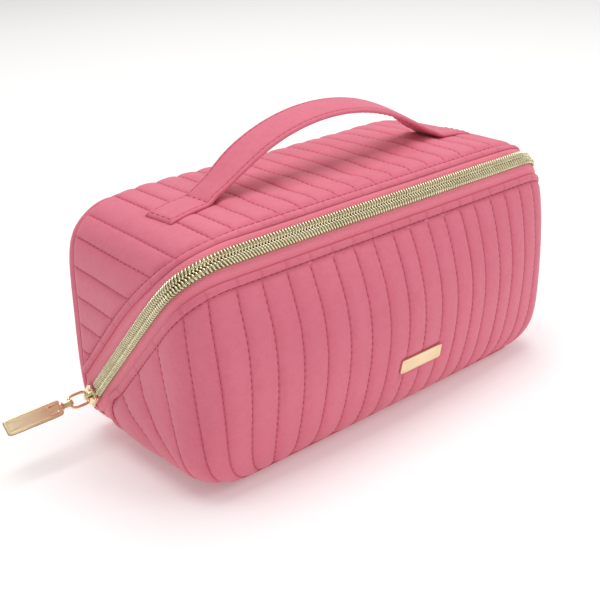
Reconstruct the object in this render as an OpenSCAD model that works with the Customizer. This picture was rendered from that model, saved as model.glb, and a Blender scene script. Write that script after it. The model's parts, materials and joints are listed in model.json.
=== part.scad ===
/* [Body] */
// Length of the bag, end to end
bag_length = 249; // [200:1:310]
// Depth of the bag, front to back, at its corners
bag_depth = 108; // [88:1:135]
// Height of the bag without its handle
bag_height = 125; // [100:1:155]
// Height of the fullest part above the table
belly_height = 53.2; // [42:0.1:66]
// Radius of the two upright corners at the front
front_radius = 17.5; // [10:0.5:28]
// Radius of the two upright corners at the back
back_radius = 11; // [8:0.5:14]
// How much shorter each half of the bag is at the back
end_taper = 3.5; // [0:0.1:6]
// How far the front swells out between its edges
front_swell = 10; // [0:0.5:14]
// Distance from the top of the bag down to where that swell starts
swell_drop = 24; // [18:1:34]
// Squareness of the upper edges, as a superellipse power
shoulder_power = 6.2; // [3:0.1:9]
// Squareness of the lower edges, as a superellipse power
foot_power = 5.5; // [3:0.1:9]
// How much of the rounded underside is flattened to stand on
foot_flat = 1.5; // [0.8:0.1:3]

/* [Layers] */
// Thickness of the outer fabric
skin = 1.2; // [0.8:0.1:2]
// Thickness of the padding behind it
padding = 3; // [2:0.1:5]
// Thickness of the lining
lining = 0.8; // [0.4:0.1:1.2]
// Thickness of the stiffener board in the base
board = 1.5; // [1:0.1:2]
// Margin from the ends of the bag to the board
board_end_margin = 34; // [30:1:45]
// Margin from the front and back of the bag to the board
board_side_margin = 20; // [19:1:28]
// Height of the seam between base panel and walls
base_seam = 4; // [3:0.5:6]
// Distance of the back panel's seam in front of the back face
back_seam = 10; // [6:1:16]

/* [Zip] */
// Height of the zip line at the back face
zip_back = 9.5; // [6:0.5:14]
// Drop of the zip line below the top at the front face
zip_front_drop = 5.3; // [3:0.1:12]
// Distance from the zip line to the edge of each panel
seam_gap = 9.5; // [8:0.5:12]
// Width of the rolled edge along each panel
edge_band = 5; // [4:0.5:7]
// How proud the rolled edge stands
edge_proud = 0.4; // [0:0.1:0.8]
// Thickness of the zip tape
tape = 0.6; // [0.4:0.1:1]
// Width of one row of the coil
coil_width = 3; // [2:0.1:4]
// How proud the coil stands of the body
coil_proud = 0.6; // [0.3:0.1:1]
// Half the free gap between the two rows
row_gap = 0.6; // [0.5:0.1:1]
// Distance from the back corner to the lower end of the zip, along its slope
zip_end = 14.5; // [13:0.5:18]
// Length of a zip end stop
stop_length = 2.4; // [1.5:0.1:4]

/* [Fold] */
// Height of the fold along the back bottom edge
fold_height = 8; // [7:0.5:12]
// Free gap above and below the fold
fold_gap = 1; // [0.8:0.1:1.5]

/* [Handle] */
// Distance between the two roots of the strap
handle_span = 152; // [120:1:180]
// Rise of the strap above the lid
handle_rise = 30; // [26:1:45]
// Width of the strap
strap_width = 20; // [16:1:24]
// Thickness of the strap
strap_thickness = 4; // [3:0.1:5]
// Offset of the strap from the middle of the depth
handle_offset = -4; // [-10:1:10]
// Length of each sewn tab
tab_length = 25; // [18:1:32]
// Thickness of each sewn tab
tab_thickness = 2.5; // [1.5:0.1:3.5]
// Thickness of the webbing inside the strap
core_thickness = 2; // [1:0.1:2.5]
// Margin of the webbing inside the strap's edge
core_margin = 2; // [1:0.5:3]
// Angle by which the strap leans to the front or back
handle_lean = 30; // [20:1:35]

/* [Slider and pull] */
// Distance from the back corner to the slider at rest, along the slope
slider_from_back = 24.5; // [22:0.5:30]
// Length of the slider
slider_length = 10; // [8:0.5:12]
// Thickness of each slider plate
slider_plate = 1.2; // [0.8:0.1:1.6]
// Running clearance of the slider
slider_clear = 0.3; // [0.2:0.05:0.5]
// How much deeper the inner plate sits, to pass the curve of the end
slider_sink = 1.7; // [1.5:0.1:3]
// Radius of the wire of the bail's opening
bail_inner = 2.4; // [2:0.1:3]
// Thickness of the bail
bail_wall = 1.1; // [0.8:0.1:1.5]
// Width of the bail
bail_width = 2; // [1.5:0.1:3]
// Radius of the link's wire
link_wire = 0.75; // [0.6:0.05:1]
// Length of the link between wire centres
link_length = 9.5; // [8:0.5:12]
// Width of the link between wire centres
link_width = 6.5; // [5:0.5:8]
// Length of the bar pull
bar_length = 29; // [20:1:40]
// Width of the bar pull
bar_width = 8; // [6:0.5:10]
// Thickness of the bar pull
bar_thickness = 2.2; // [1.5:0.1:3]
// Length of the bracket between link and bar
bracket_length = 5; // [4:0.5:8]

/* [Nameplate] */
// Length of the nameplate
plate_length = 29; // [20:1:40]
// Height of the nameplate
plate_height = 8; // [6:0.5:12]
// Thickness of the nameplate
plate_thickness = 1.4; // [1:0.1:2]
// Place of the nameplate's centre along the length
plate_x = 9; // [-40:1:60]
// Height of the nameplate's centre
plate_z = 33; // [22:1:45]
// Radius of a prong
prong_radius = 0.7; // [0.5:0.1:1]
// Thickness of the backing plate
backing = 0.6; // [0.4:0.1:1]

/* [Hidden] */

$fn = 48;
far = 400;
corner_steps = 5;
flat_steps = 6;
foot_steps = 7;
wall_steps = 11;

half_length = bag_length / 2;
half_depth = bag_depth / 2;

// The zip lies in one sloping plane: its slope, and its height over the middle of the bag.
zip_angle = atan2(bag_height - zip_front_drop - zip_back, bag_depth);
zip_middle = (bag_height - zip_front_drop + zip_back) / 2;
// Distance along the slope from the middle of the bag to its back corner
slope_half = half_depth / cos(zip_angle);
zip_low = slope_half - zip_end;
slider_rest = slope_half - slider_from_back;

// The straight stretch of the zip on each end leans by the taper.
end_lean = atan(end_taper / bag_depth * cos(zip_angle));

// The layers, as depths below the outer face
padding_in = skin + padding;
lining_in = padding_in + lining;
tape_in = skin + tape;
lap = seam_gap + edge_band;

// The fold runs just inside the skin, where the back face curves under.
fold_y = half_depth * side_at((belly_height - fold_height) / (belly_height + foot_flat), foot_power) - skin / 3;

// The strap is an arch of one radius, from its roots on the tabs to its top.
strap_foot = bag_height + tab_thickness;
strap_top = bag_height + handle_rise;
strap_half = handle_span / 2;
strap_radius = (pow(strap_half, 2) + pow(strap_top - strap_foot, 2)) / (2 * (strap_top - strap_foot));
strap_axis_z = strap_foot + 0.5;

// Depths of the slider's faces outside and inside the body's face
slider_out = coil_proud + slider_clear;
slider_in = tape_in + slider_clear + slider_sink;
slider_half = row_gap + coil_width + slider_clear + 0.7;
pivot_out = slider_out + slider_plate + bail_inner / 2;
bracket_clear = 0.3;
bracket_radius = link_wire + bracket_clear + 0.7;

// Gaps from the front panel's faces to the nameplate and to its backing
plate_seat = 0.1;
backing_seat = 0.8;
root_radius = 0.7;
// Length of each end that the end paddings take
end_padding = 16;

body_color = "#d9808f";
tape_color = "#e88a9c";
lining_color = "#cf9aa2";
foam_color = "#f3e9df";
gold_color = "#d8bd7a";

// Width of a unit superellipse at height h
function side_at(h, power) = pow(1 - pow(h, power), 1 / power);

// Point on a unit superellipse in the direction of an angle
function round_square(angle, power) =
    let (reach = pow(pow(cos(angle), power) + pow(sin(angle), power), -1 / power))
    [reach * cos(angle), reach * sin(angle)];

// Half the length of the bag at a place along its depth, from -1 at the front to 1 at the back
function end_at(depth) = 1 - end_taper / half_length * (depth + 1) / 2;

// Plan outline: a rectangle with round corners, a little shorter at the back.
// Each point is [x, y, share of the front's swell].
function outline(inset) =
    let (hx = half_length - inset, hy = half_depth - inset)
    [for (k = [0:3], i = [0:corner_steps + (k % 2 == 0 ? flat_steps - 1 : 0)])
        let (r = max((k < 2 ? back_radius : front_radius) - inset, 1),
             a = 90 * (k + min(i / corner_steps, 1)),
             sx = k == 0 || k == 3 ? 1 : -1,
             sy = k < 2 ? 1 : -1,
             run = max(i - corner_steps, 0) / flat_steps,
             x = (sx * (hx - r) + r * cos(a)) * (1 - 2 * run),
             y = sy * (hy - r) + r * sin(a))
        [x * end_at(y / hy), y, front_share(x / hx, y / hy)]];

// Share of the swell at a place in plan, full in the middle of the front
function front_share(along, depth) = pow(max(-depth, 0), 6) * (1 - pow(abs(along), 3));

// How far the middle of the front swells at a height
function swell_at(z) =
    let (top = bag_height - swell_drop, w = min(max(z, 0) / top, 1))
    front_swell * sin(180 * pow(w, 1.25));

function front_y(x, z) = -half_depth - swell_at(z) * front_share(x / half_length, -1);

// Side profile from the flat foot to just under the top: [share of the outline, height]
function profile(inset) =
    let (drop = belly_height + foot_flat - inset,
         rise = bag_height - belly_height - inset,
         foot = (belly_height - inset) / drop,
         start = atan2(foot, side_at(foot, foot_power)))
    concat(
        [for (i = [0:foot_steps - 1])
            let (p = round_square(start * (1 - i / foot_steps), foot_power))
            [p[0], belly_height - drop * p[1]]],
        [for (i = [0:wall_steps - 1])
            let (p = round_square(90 * i / wall_steps, shoulder_power))
            [p[0], belly_height + rise * p[1]]]);

// The whole body, inset from its outer face
module body_form(inset) {
    ring = outline(inset);
    rows = profile(inset);
    n = len(ring);
    m = len(rows);
    points = concat(
        [for (row = rows, p = ring) [row[0] * p[0], row[0] * p[1] - p[2] * swell_at(row[1] - inset), row[1]]],
        [[0, 0, bag_height - inset]]);
    faces = concat(
        [[for (i = [0:n - 1]) i]],
        [for (j = [0:m - 2], i = [0:n - 1], half = [0, 1])
            let (k = (i + 1) % n, low = j * n, high = low + n)
            half == 0 ? [low + i, high + i, high + k] : [low + i, high + k, low + k]],
        [for (i = [0:n - 1]) [(m - 1) * n + i, m * n, (m - 1) * n + (i + 1) % n]]);
    polyhedron(points, faces, convexity = 4);
}

module layer(outer, inner) {
    difference() {
        body_form(outer);
        body_form(inner);
    }
}

// Frame of the zip: X along the bag, Y down its slope to the back, Z square to the zip plane
module zip_frame() {
    translate([0, 0, zip_middle]) rotate([-zip_angle, 0, 0]) children();
}

// Slab of the zip frame between two distances from the zip plane, in front of the back panel
module zip_slab(from, to) {
    intersection() {
        zip_frame() translate([-far, -far, from]) cube([2 * far, far + zip_low, to - from]);
        translate([-far, -far, -far]) cube([2 * far, far + half_depth - back_seam - 0.5, 2 * far]);
    }
}

module under(z) {
    translate([-far, -far, z - far]) cube([2 * far, 2 * far, far]);
}

module over(z) {
    translate([-far, -far, z]) cube([2 * far, 2 * far, far]);
}

module behind_seam() {
    translate([-far, half_depth - back_seam, -far]) cube([2 * far, far, 2 * far]);
}

// Everything that belongs to the tray, with the corners below the zip's ends
module tray_region(short) {
    zip_frame() translate([-far, -far, -far - short]) cube([2 * far, 2 * far, far]);
    under(fold_height - fold_gap);
    intersection() {
        zip_frame() translate([-far, zip_low + 0.3, -far - row_gap]) cube([2 * far, far, far]);
        translate([-far, -far, -far]) cube([2 * far, far + half_depth - back_seam - 1, 2 * far]);
    }
}

// The back of the bag above the fold
module back_region() {
    intersection() {
        over(fold_height + fold_gap);
        behind_seam();
    }
}

module above_zip(short) {
    zip_frame() translate([-far, -far, short]) cube([2 * far, 2 * far, far]);
}

// Everything that belongs to the lid
module lid_region(short) {
    above_zip(short);
    back_region();
}

// Frame of the nameplate: origin on the front's face, Y square into the bag
module plate_frame() {
    rise = plate_height / 2;
    tilt = atan2(front_y(plate_x, plate_z - rise) - front_y(plate_x, plate_z + rise), plate_height);
    translate([plate_x, front_y(plate_x, plate_z), plate_z]) rotate([tilt, 0, 0]) children();
}

module prongs(from, to) {
    plate_frame() for (side = [-1, 1])
        translate([side * plate_length / 3, from, 0])
            rotate([-90, 0, 0]) cylinder(h = to - from, r = prong_radius);
}

module board_block() {
    size_x = 2 * (half_length - board_end_margin);
    size_y = 2 * (half_depth - board_side_margin);
    translate([-size_x / 2, -size_y / 2, padding_in - board]) cube([size_x, size_y, board]);
}

module backing_block() {
    plate_frame() translate([-plate_length * 0.42, skin + backing_seat, -plate_height * 0.35])
        cube([plate_length * 0.84, backing, plate_height * 0.7]);
}

module between_ends() {
    reach = half_length - end_padding;
    translate([-reach, -far, -far]) cube([2 * reach, 2 * far, 2 * far]);
}

module before(y) {
    translate([-far, y - far, -far]) cube([2 * far, far, 2 * far]);
}

// Outer fabric of the front and of the lower ends
module front_panel() {
    color(body_color) difference() {
        intersection() {
            layer(0, skin);
            tray_region(lap);
            over(base_seam);
        }
        prongs(-1, padding_in);
    }
}

module base_panel() {
    color(body_color) intersection() {
        layer(0, skin);
        under(base_seam);
    }
}

// Padding of the walls of the tray, above the base padding
module tray_wall_padding() {
    intersection() {
        layer(skin, padding_in);
        tray_region(lap);
        over(padding_in + 0.6);
    }
}

module front_padding() {
    color(foam_color) difference() {
        intersection() {
            tray_wall_padding();
            before(-half_depth + front_radius);
            between_ends();
        }
        backing_block();
        prongs(0, padding_in);
    }
}

// Two pads, one at each end, that turn the front corners
module tray_end_paddings() {
    color(foam_color) difference() {
        tray_wall_padding();
        between_ends();
    }
}

module base_padding() {
    color(foam_color) difference() {
        intersection() {
            layer(skin, padding_in);
            under(padding_in + 0.6);
        }
        board_block();
    }
}

module base_board() {
    color("#8a8a8a") board_block();
}

module tray_lining() {
    color(lining_color) intersection() {
        layer(padding_in, lining_in);
        tray_region(lap);
    }
}

// Rolled, topstitched edge of the tray along the zip
module tray_edge() {
    color(body_color) intersection() {
        layer(-edge_proud, skin);
        zip_slab(-lap, -seam_gap);
        over(fold_height - fold_gap);
    }
}

module tray_seam_binding() {
    color(lining_color) intersection() {
        layer(tape_in, lining_in);
        zip_slab(-lap, -seam_gap);
        over(fold_height - fold_gap);
    }
}

module zip_tape_tray() {
    color(tape_color) intersection() {
        layer(skin, tape_in);
        zip_slab(-lap, -row_gap);
        over(fold_height - fold_gap);
    }
}

module zip_coil_tray() {
    color(gold_color) intersection() {
        layer(-coil_proud, skin);
        zip_slab(-row_gap - coil_width, -row_gap);
        zip_frame() translate([-far, -far, -far]) cube([2 * far, far + zip_low - stop_length, 2 * far]);
    }
}

// Metal stops at the two lower ends of the tray's row
module zip_stops() {
    color(gold_color) intersection() {
        layer(-coil_proud, skin);
        zip_slab(-row_gap - coil_width, -row_gap);
        zip_frame() translate([-far, zip_low - stop_length, -far]) cube([2 * far, far, 2 * far]);
    }
}

// Piping in the fold between base and back
module fold_piping() {
    color(body_color) translate([-half_length + front_radius, fold_y, fold_height])
        rotate([0, 90, 0])
            cylinder(h = bag_length - 2 * front_radius, r = fold_gap - 0.3);
}

// Plain plate with a bevelled face; its prongs pass through the front panel
module nameplate() {
    bevel = plate_thickness / 2;
    color(gold_color) {
        plate_frame() {
            translate([-plate_length / 2, -plate_seat - bevel, -plate_height / 2])
                cube([plate_length, bevel, plate_height]);
            translate([-plate_length / 2 + bevel, -plate_seat - plate_thickness, -plate_height / 2 + bevel])
                cube([plate_length - 2 * bevel, bevel, plate_height - 2 * bevel]);
        }
        prongs(-plate_seat - bevel / 2, skin + backing_seat + backing);
    }
}

module nameplate_backing() {
    color("#b9b4a6") difference() {
        backing_block();
        prongs(0, padding_in);
    }
}

// Outer fabric of the top and of the upper ends
module lid_panel() {
    color(body_color) difference() {
        intersection() {
            layer(0, skin);
            above_zip(lap);
        }
        behind_seam();
    }
}

module back_panel() {
    color(body_color) intersection() {
        layer(0, skin);
        back_region();
    }
}

// Padding of the lid in front of the back padding
module lid_front_padding() {
    difference() {
        intersection() {
            layer(skin, padding_in);
            above_zip(lap);
        }
        behind_seam();
    }
}

module top_padding() {
    color(foam_color) intersection() {
        lid_front_padding();
        between_ends();
    }
}

module back_padding() {
    color(foam_color) intersection() {
        layer(skin, padding_in);
        back_region();
    }
}

// Two pads, one at each end of the lid
module lid_end_paddings() {
    color(foam_color) difference() {
        lid_front_padding();
        between_ends();
    }
}

module lid_lining() {
    color(lining_color) intersection() {
        layer(padding_in, lining_in);
        lid_region(lap);
    }
}

module lid_edge() {
    color(body_color) intersection() {
        layer(-edge_proud, skin);
        zip_slab(seam_gap, lap);
    }
}

module lid_seam_binding() {
    color(lining_color) intersection() {
        layer(tape_in, lining_in);
        zip_slab(seam_gap, lap);
    }
}

module zip_tape_lid() {
    color(tape_color) intersection() {
        layer(skin, tape_in);
        zip_slab(row_gap, lap);
    }
}

// The lid's row starts above the resting slider
module zip_coil_lid() {
    start = slider_rest - slider_length / 2 - slider_clear;
    color(gold_color) intersection() {
        layer(-coil_proud, skin);
        zip_slab(row_gap, row_gap + coil_width);
        zip_frame() union() {
            translate([-far, -far, -far]) cube([2 * far, far + start, 2 * far]);
            translate([0, -far, -far]) cube([far, far + zip_low, 2 * far]);
        }
    }
}

// Flat end of the strap, sewn down on the lid
module handle_tab(side) {
    near = side > 0 ? strap_half : -strap_half - tab_length;
    color(body_color) intersection() {
        layer(-tab_thickness, 0);
        translate([near, handle_offset - strap_width / 2, belly_height])
            cube([tab_length, strap_width, far]);
    }
}

module handle_tab_left() {
    handle_tab(-1);
}

module handle_tab_right() {
    handle_tab(1);
}

// Band of the strap's arch: depth below its outer face, thickness and width
module strap_arc(depth, thickness, width) {
    translate([0, handle_offset, strap_top - strap_radius]) rotate([90, 0, 0])
        rotate_extrude(angle = 180, $fn = 96)
            translate([strap_radius - depth - thickness, -width / 2]) square([thickness, width]);
}

// Where the strap is free: its roots taper to a round edge on the line about which it leans
module strap_room() {
    low = strap_axis_z + 0.3;
    shoulder = low + (strap_width / 2 - 1) * tan(handle_lean + 2);
    translate([-far, handle_offset, 0]) rotate([90, 0, 90])
        linear_extrude(2 * far)
            polygon([[-1, low], [1, low], [strap_width / 2 + 1, shoulder + 1],
                     [strap_width / 2 + 1, strap_top + 1], [-strap_width / 2 - 1, strap_top + 1],
                     [-strap_width / 2 - 1, shoulder + 1]]);
    translate([-far, handle_offset, strap_axis_z]) rotate([0, 90, 0]) cylinder(h = 2 * far, r = root_radius);
}

module strap_core() {
    strap_arc((strap_thickness - core_thickness) / 2, core_thickness, strap_width - 2 * core_margin);
}

module handle_strap() {
    color(body_color) intersection() {
        difference() {
            strap_arc(0, strap_thickness, strap_width);
            strap_core();
        }
        strap_room();
    }
}

// Webbing inside the strap
module handle_core() {
    color("#e9dcc9") intersection() {
        strap_core();
        strap_room();
    }
}

// Frame of the slider: origin on the end's face, on the zip line
module slider_frame() {
    depth = slider_rest * cos(zip_angle) / half_depth;
    zip_frame() translate([-half_length * end_at(depth), slider_rest, 0]) rotate([0, 0, -end_lean]) children();
}

module slider_body() {
    lip = 0.7;
    color(gold_color) slider_frame() {
        translate([-slider_out - slider_plate, -slider_length / 2, -slider_half])
            cube([slider_plate, slider_length, 2 * slider_half]);
        translate([slider_in, -slider_length / 2, -slider_half])
            cube([slider_plate, slider_length, 2 * slider_half]);
        translate([-slider_out - slider_plate / 2, slider_length / 2 - 1.6, -row_gap + slider_clear])
            cube([slider_out + slider_in + slider_plate, 1.6, 2 * (row_gap - slider_clear)]);
        translate([-slider_out - slider_plate / 2, -slider_length / 2, -slider_half])
            cube([slider_out + slider_plate / 2 + skin - slider_clear, slider_length, lip]);
    }
}

module slider_bail() {
    color(gold_color) slider_frame() translate([-slider_out - slider_plate, 0, 0])
        intersection() {
            translate([0, 0, -bail_width / 2]) difference() {
                cylinder(h = bail_width, r = bail_inner + bail_wall);
                translate([0, 0, -1]) cylinder(h = bail_width + 2, r = bail_inner);
            }
            translate([-far, -far / 2, -far / 2]) cube([far, far, far]);
        }
}

// Oval link of round wire, standing straight out of the bail
module pull_link() {
    bend = 1.8;
    color(gold_color) slider_frame() translate([-pivot_out - link_length / 2, 0, 0])
        rotate([90, 0, 0]) {
            for (s = [-1, 1]) {
                translate([s * link_length / 2, -link_width / 2 + bend, 0])
                    rotate([-90, 0, 0]) cylinder(h = link_width - 2 * bend, r = link_wire);
                translate([-link_length / 2 + bend, s * link_width / 2, 0])
                    rotate([0, 90, 0]) cylinder(h = link_length - 2 * bend, r = link_wire);
            }
            for (k = [0:3])
                translate([(k == 0 || k == 3 ? 1 : -1) * (link_length / 2 - bend),
                           (k < 2 ? 1 : -1) * (link_width / 2 - bend), 0])
                    rotate([0, 0, 90 * k]) rotate_extrude(angle = 90)
                        translate([bend, 0]) circle(r = link_wire);
        }
}

module bar_frame() {
    slider_frame() translate([-pivot_out - link_length, 0, 0]) children();
}

// Bracket that wraps the link's outer wire and holds the bar
module pull_bracket() {
    width = link_width - 2 * link_wire - 2 * 1.2;
    color(gold_color) bar_frame() difference() {
        union() {
            translate([0, 0, -width / 2]) cylinder(h = width, r = bracket_radius);
            translate([-bracket_length, -bar_thickness / 2, -width / 2])
                cube([bracket_length, bar_thickness, width]);
        }
        translate([0, 0, -width]) cylinder(h = 2 * width, r = link_wire + bracket_clear);
    }
}

module pull_bar() {
    corner = 1.5;
    color(gold_color) bar_frame()
        translate([-bracket_length - bar_length, bar_thickness / 2, 0]) rotate([90, 0, 0]) {
            translate([corner, -bar_width / 2, 0])
                cube([bar_length - 2 * corner, bar_width, bar_thickness]);
            translate([0, -bar_width / 2 + corner, 0])
                cube([bar_length, bar_width - 2 * corner, bar_thickness]);
            for (x = [corner, bar_length - corner], y = [-1, 1])
                translate([x, y * (bar_width / 2 - corner), 0]) cylinder(h = bar_thickness, r = corner);
        }
}

front_panel();
base_panel();
front_padding();
tray_end_paddings();
base_padding();
base_board();
tray_lining();
tray_edge();
tray_seam_binding();
zip_tape_tray();
zip_coil_tray();
zip_stops();
fold_piping();
nameplate();
nameplate_backing();
lid_panel();
back_panel();
top_padding();
back_padding();
lid_end_paddings();
lid_lining();
lid_edge();
lid_seam_binding();
zip_tape_lid();
zip_coil_lid();
handle_tab_left();
handle_tab_right();
handle_strap();
handle_core();
slider_body();
slider_bail();
pull_link();
pull_bracket();
pull_bar();
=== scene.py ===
import json
import math
import bmesh
import bpy
import numpy as np
from mathutils import Matrix, Vector

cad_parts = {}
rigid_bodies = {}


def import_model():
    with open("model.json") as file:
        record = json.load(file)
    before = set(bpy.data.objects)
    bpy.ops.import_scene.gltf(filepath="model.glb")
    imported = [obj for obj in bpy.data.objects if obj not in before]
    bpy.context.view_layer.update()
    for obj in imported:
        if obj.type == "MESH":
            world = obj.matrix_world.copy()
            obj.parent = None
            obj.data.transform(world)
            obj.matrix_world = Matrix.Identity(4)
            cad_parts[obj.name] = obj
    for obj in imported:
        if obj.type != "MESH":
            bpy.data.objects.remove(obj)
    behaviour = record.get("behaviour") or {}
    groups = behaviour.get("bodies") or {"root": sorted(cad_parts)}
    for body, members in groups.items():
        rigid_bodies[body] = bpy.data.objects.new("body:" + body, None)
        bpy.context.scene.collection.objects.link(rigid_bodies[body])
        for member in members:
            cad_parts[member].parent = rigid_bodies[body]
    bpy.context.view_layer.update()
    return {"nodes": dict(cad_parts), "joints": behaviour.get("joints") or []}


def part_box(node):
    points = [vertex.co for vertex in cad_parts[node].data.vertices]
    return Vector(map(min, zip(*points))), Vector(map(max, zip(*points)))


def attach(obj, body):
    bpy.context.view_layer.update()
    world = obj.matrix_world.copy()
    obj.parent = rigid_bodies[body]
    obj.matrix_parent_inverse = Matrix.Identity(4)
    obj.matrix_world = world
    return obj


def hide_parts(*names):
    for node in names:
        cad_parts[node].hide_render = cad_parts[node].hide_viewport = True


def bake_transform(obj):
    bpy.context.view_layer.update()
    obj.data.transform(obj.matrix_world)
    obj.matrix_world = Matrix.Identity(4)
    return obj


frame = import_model()
joints = {j["name"]: j for j in frame["joints"]}
print("frame loaded:", len(frame["nodes"]), "nodes")

# Everything below is worked out in millimetres and turned into metres when a mesh is made.
metre = 0.001


def corner(node, side, axis):
    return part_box(node)[side][axis] / metre


# The bag's own shape: a round-cornered rectangle in plan, drawn in by superellipses above and below
# its fullest height, with a front that swells out between its edges.
bag = {
    "halfDepth": corner("back_panel", 1, 1),
    "height": corner("lid_panel", 1, 2),
    "bellyHeight": 53.2,
    "footFlat": 1.5,
    "footPower": 5.5,
    "shoulderPower": 6.2,
    "frontRadius": 17.5,
    "backRadius": 11.0,
    "endTaper": 3.5,
    "frontSwell": 10.0,
    "swellDrop": 24.0,
    "backSeam": 44.0,
    "baseSeam": 4.0,
}
bag["halfLength"] = (corner("front_panel", 1, 0)
                     + bag["endTaper"] * bag["frontRadius"] / bag["halfDepth"] / 2)

# The zip lies in one sloping plane, square to the axis about which the link swings.
across = np.array(joints["link_swing"]["axis"], float)
downhill = np.array([0.0, across[2], -across[1]])
linkPivot = np.array(joints["link_swing"]["pos_m"], float) / metre
zipCentre = np.array([0.0, 0.0, linkPivot @ across / across[2]])
foldLine = np.array(joints["lid_fold"]["pos_m"], float) / metre
leanLine = np.array(joints["handle_lean"]["pos_m"], float) / metre


def sideShare(z, inset=0.0):
    # how much of the full plan is left at a height
    below = bag["bellyHeight"] + bag["footFlat"] - inset
    above = bag["height"] - bag["bellyHeight"] - inset
    low = z < bag["bellyHeight"]
    h = np.where(low, (bag["bellyHeight"] - z) / below, (z - bag["bellyHeight"]) / above)
    power = np.where(low, bag["footPower"], bag["shoulderPower"])
    return (1 - np.clip(h, 0, 1 - 1e-9) ** power) ** (1 / power)


def swellAt(z):
    w = np.clip(z / (bag["height"] - bag["swellDrop"]), 0, 1)
    return bag["frontSwell"] * np.sin(np.pi * w ** 1.25)


def swellShare(along, depth):
    return np.clip(-depth, 0, 1) ** 6 * (1 - np.clip(np.abs(along), 0, 1) ** 3)


def endAt(depth):
    return 1 - bag["endTaper"] / bag["halfLength"] * (depth + 1) / 2


hl, hd, rf, rb = bag["halfLength"], bag["halfDepth"], bag["frontRadius"], bag["backRadius"]
straightSide = 2 * hd - rf - rb
quarterFront, quarterBack = math.pi / 2 * rf, math.pi / 2 * rb
planLegs = [straightSide, quarterFront, 2 * (hl - rf), quarterFront, straightSide,
            quarterBack, 2 * (hl - rb), quarterBack]
planMarks = np.concatenate([[0], np.cumsum(planLegs)])
planStart = np.array([(-hl, hd - rb), (-hl, rf - hd), (rf - hl, -hd), (hl - rf, -hd), (hl, rf - hd),
                      (hl, hd - rb), (hl - rb, hd), (rb - hl, hd)])
planHeading = np.radians([-90, -90, 0, 0, 90, 90, 180, 180])
planTurn = np.array([0, 1 / rf, 0, 1 / rf, 0, 1 / rb, 0, 1 / rb])
# distances round the plan: 0 is at the left end by the back corner, and they run round the front
frontEnd = planMarks[5]
loopLength = planMarks[8]
frontStart = planMarks[2]


def planAt(tau):
    # point and outward direction of the plan outline
    tau = np.mod(tau, loopLength)
    k = np.clip(np.searchsorted(planMarks, tau, side="right") - 1, 0, 7)
    d, h, c = tau - planMarks[k], planHeading[k], planTurn[k]
    turned = h + d * c
    bent = c > 0
    radius = np.where(bent, 1 / np.where(bent, c, 1), 0)
    x = planStart[k, 0] + np.where(bent, radius * (np.sin(turned) - np.sin(h)), d * np.cos(h))
    y = planStart[k, 1] + np.where(bent, -radius * (np.cos(turned) - np.cos(h)), d * np.sin(h))
    return x, y, np.sin(turned), -np.cos(turned)


def wallAt(tau, z, inset=0.0):
    # point of the body's face by distance round the plan and height
    x, y, nx, ny = planAt(tau)
    x, y = x - inset * nx, y - inset * ny
    hx, hy = hl - inset, hd - inset
    share, s = swellShare(x / hx, y / hy), sideShare(z, inset)
    return np.stack([s * x * endAt(y / hy), s * y - share * swellAt(z - inset), z + 0 * x], -1)


def outsideBody(p, inset):
    x, y, z = p[..., 0], p[..., 1], p[..., 2]
    s, hx, hy = sideShare(z, inset), hl - inset, hd - inset
    swell, fullY = swellAt(z - inset), y / s
    for _ in range(3):
        share = swellShare(x / s / endAt(fullY / hy) / hx, fullY / hy)
        fullY = (y + share * swell) / s
    fullX = x / s / endAt(fullY / hy)
    r = np.where(fullY > 0, rb, rf) - inset
    qx, qy = np.abs(fullX) - (hx - r), np.abs(fullY) - (hy - r)
    gap = np.hypot(np.maximum(qx, 0), np.maximum(qy, 0)) + np.minimum(np.maximum(qx, qy), 0) - r
    return (gap > 0) | (z < inset) | (z > bag["height"] - inset)


def castOut(origin, direction, inset=0.0):
    # where a ray from inside the body meets its face
    origin, direction = np.broadcast_arrays(origin, direction)
    near, far = np.zeros(origin.shape[:-1]), np.full(origin.shape[:-1], 210.0)
    for _ in range(32):
        mid = (near + far) / 2
        out = outsideBody(origin + mid[..., None] * direction, inset)
        near, far = np.where(out, near, mid), np.where(out, mid, far)
    return origin + near[..., None] * direction


def solve(value, low, high, target):
    # value(x) grows with x; finds x where it reaches target
    low, high = low + 0 * target, high + 0 * target
    for _ in range(30):
        mid = (low + high) / 2
        under = value(mid) < target
        low, high = np.where(under, mid, low), np.where(under, high, mid)
    return (low + high) / 2


def overZip(p):
    return (p - zipCentre) @ across


def normalsOf(grid, loop=False):
    du = (np.roll(grid, -1, 0) - np.roll(grid, 1, 0)) if loop else np.gradient(grid, axis=0)
    n = np.cross(du, np.gradient(grid, axis=1))
    n /= np.linalg.norm(n, axis=-1, keepdims=True) + 1e-12
    middle = np.array([0, 0, 60.0])
    return n if np.mean(np.sum(n * (grid - middle), -1)) > 0 else -n


def smoothStep(x):
    x = np.clip(x, 0, 1)
    return x * x * (3 - 2 * x)


# how far the padded fabric strays from the body's face
padding = {"ripples": (0.36, 0.24), "valley": 0.8, "swells": (0.35, 0.3, 0.25), "topFrom": 104,
           "trueBeside": 12, "trueFade": 11}


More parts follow.
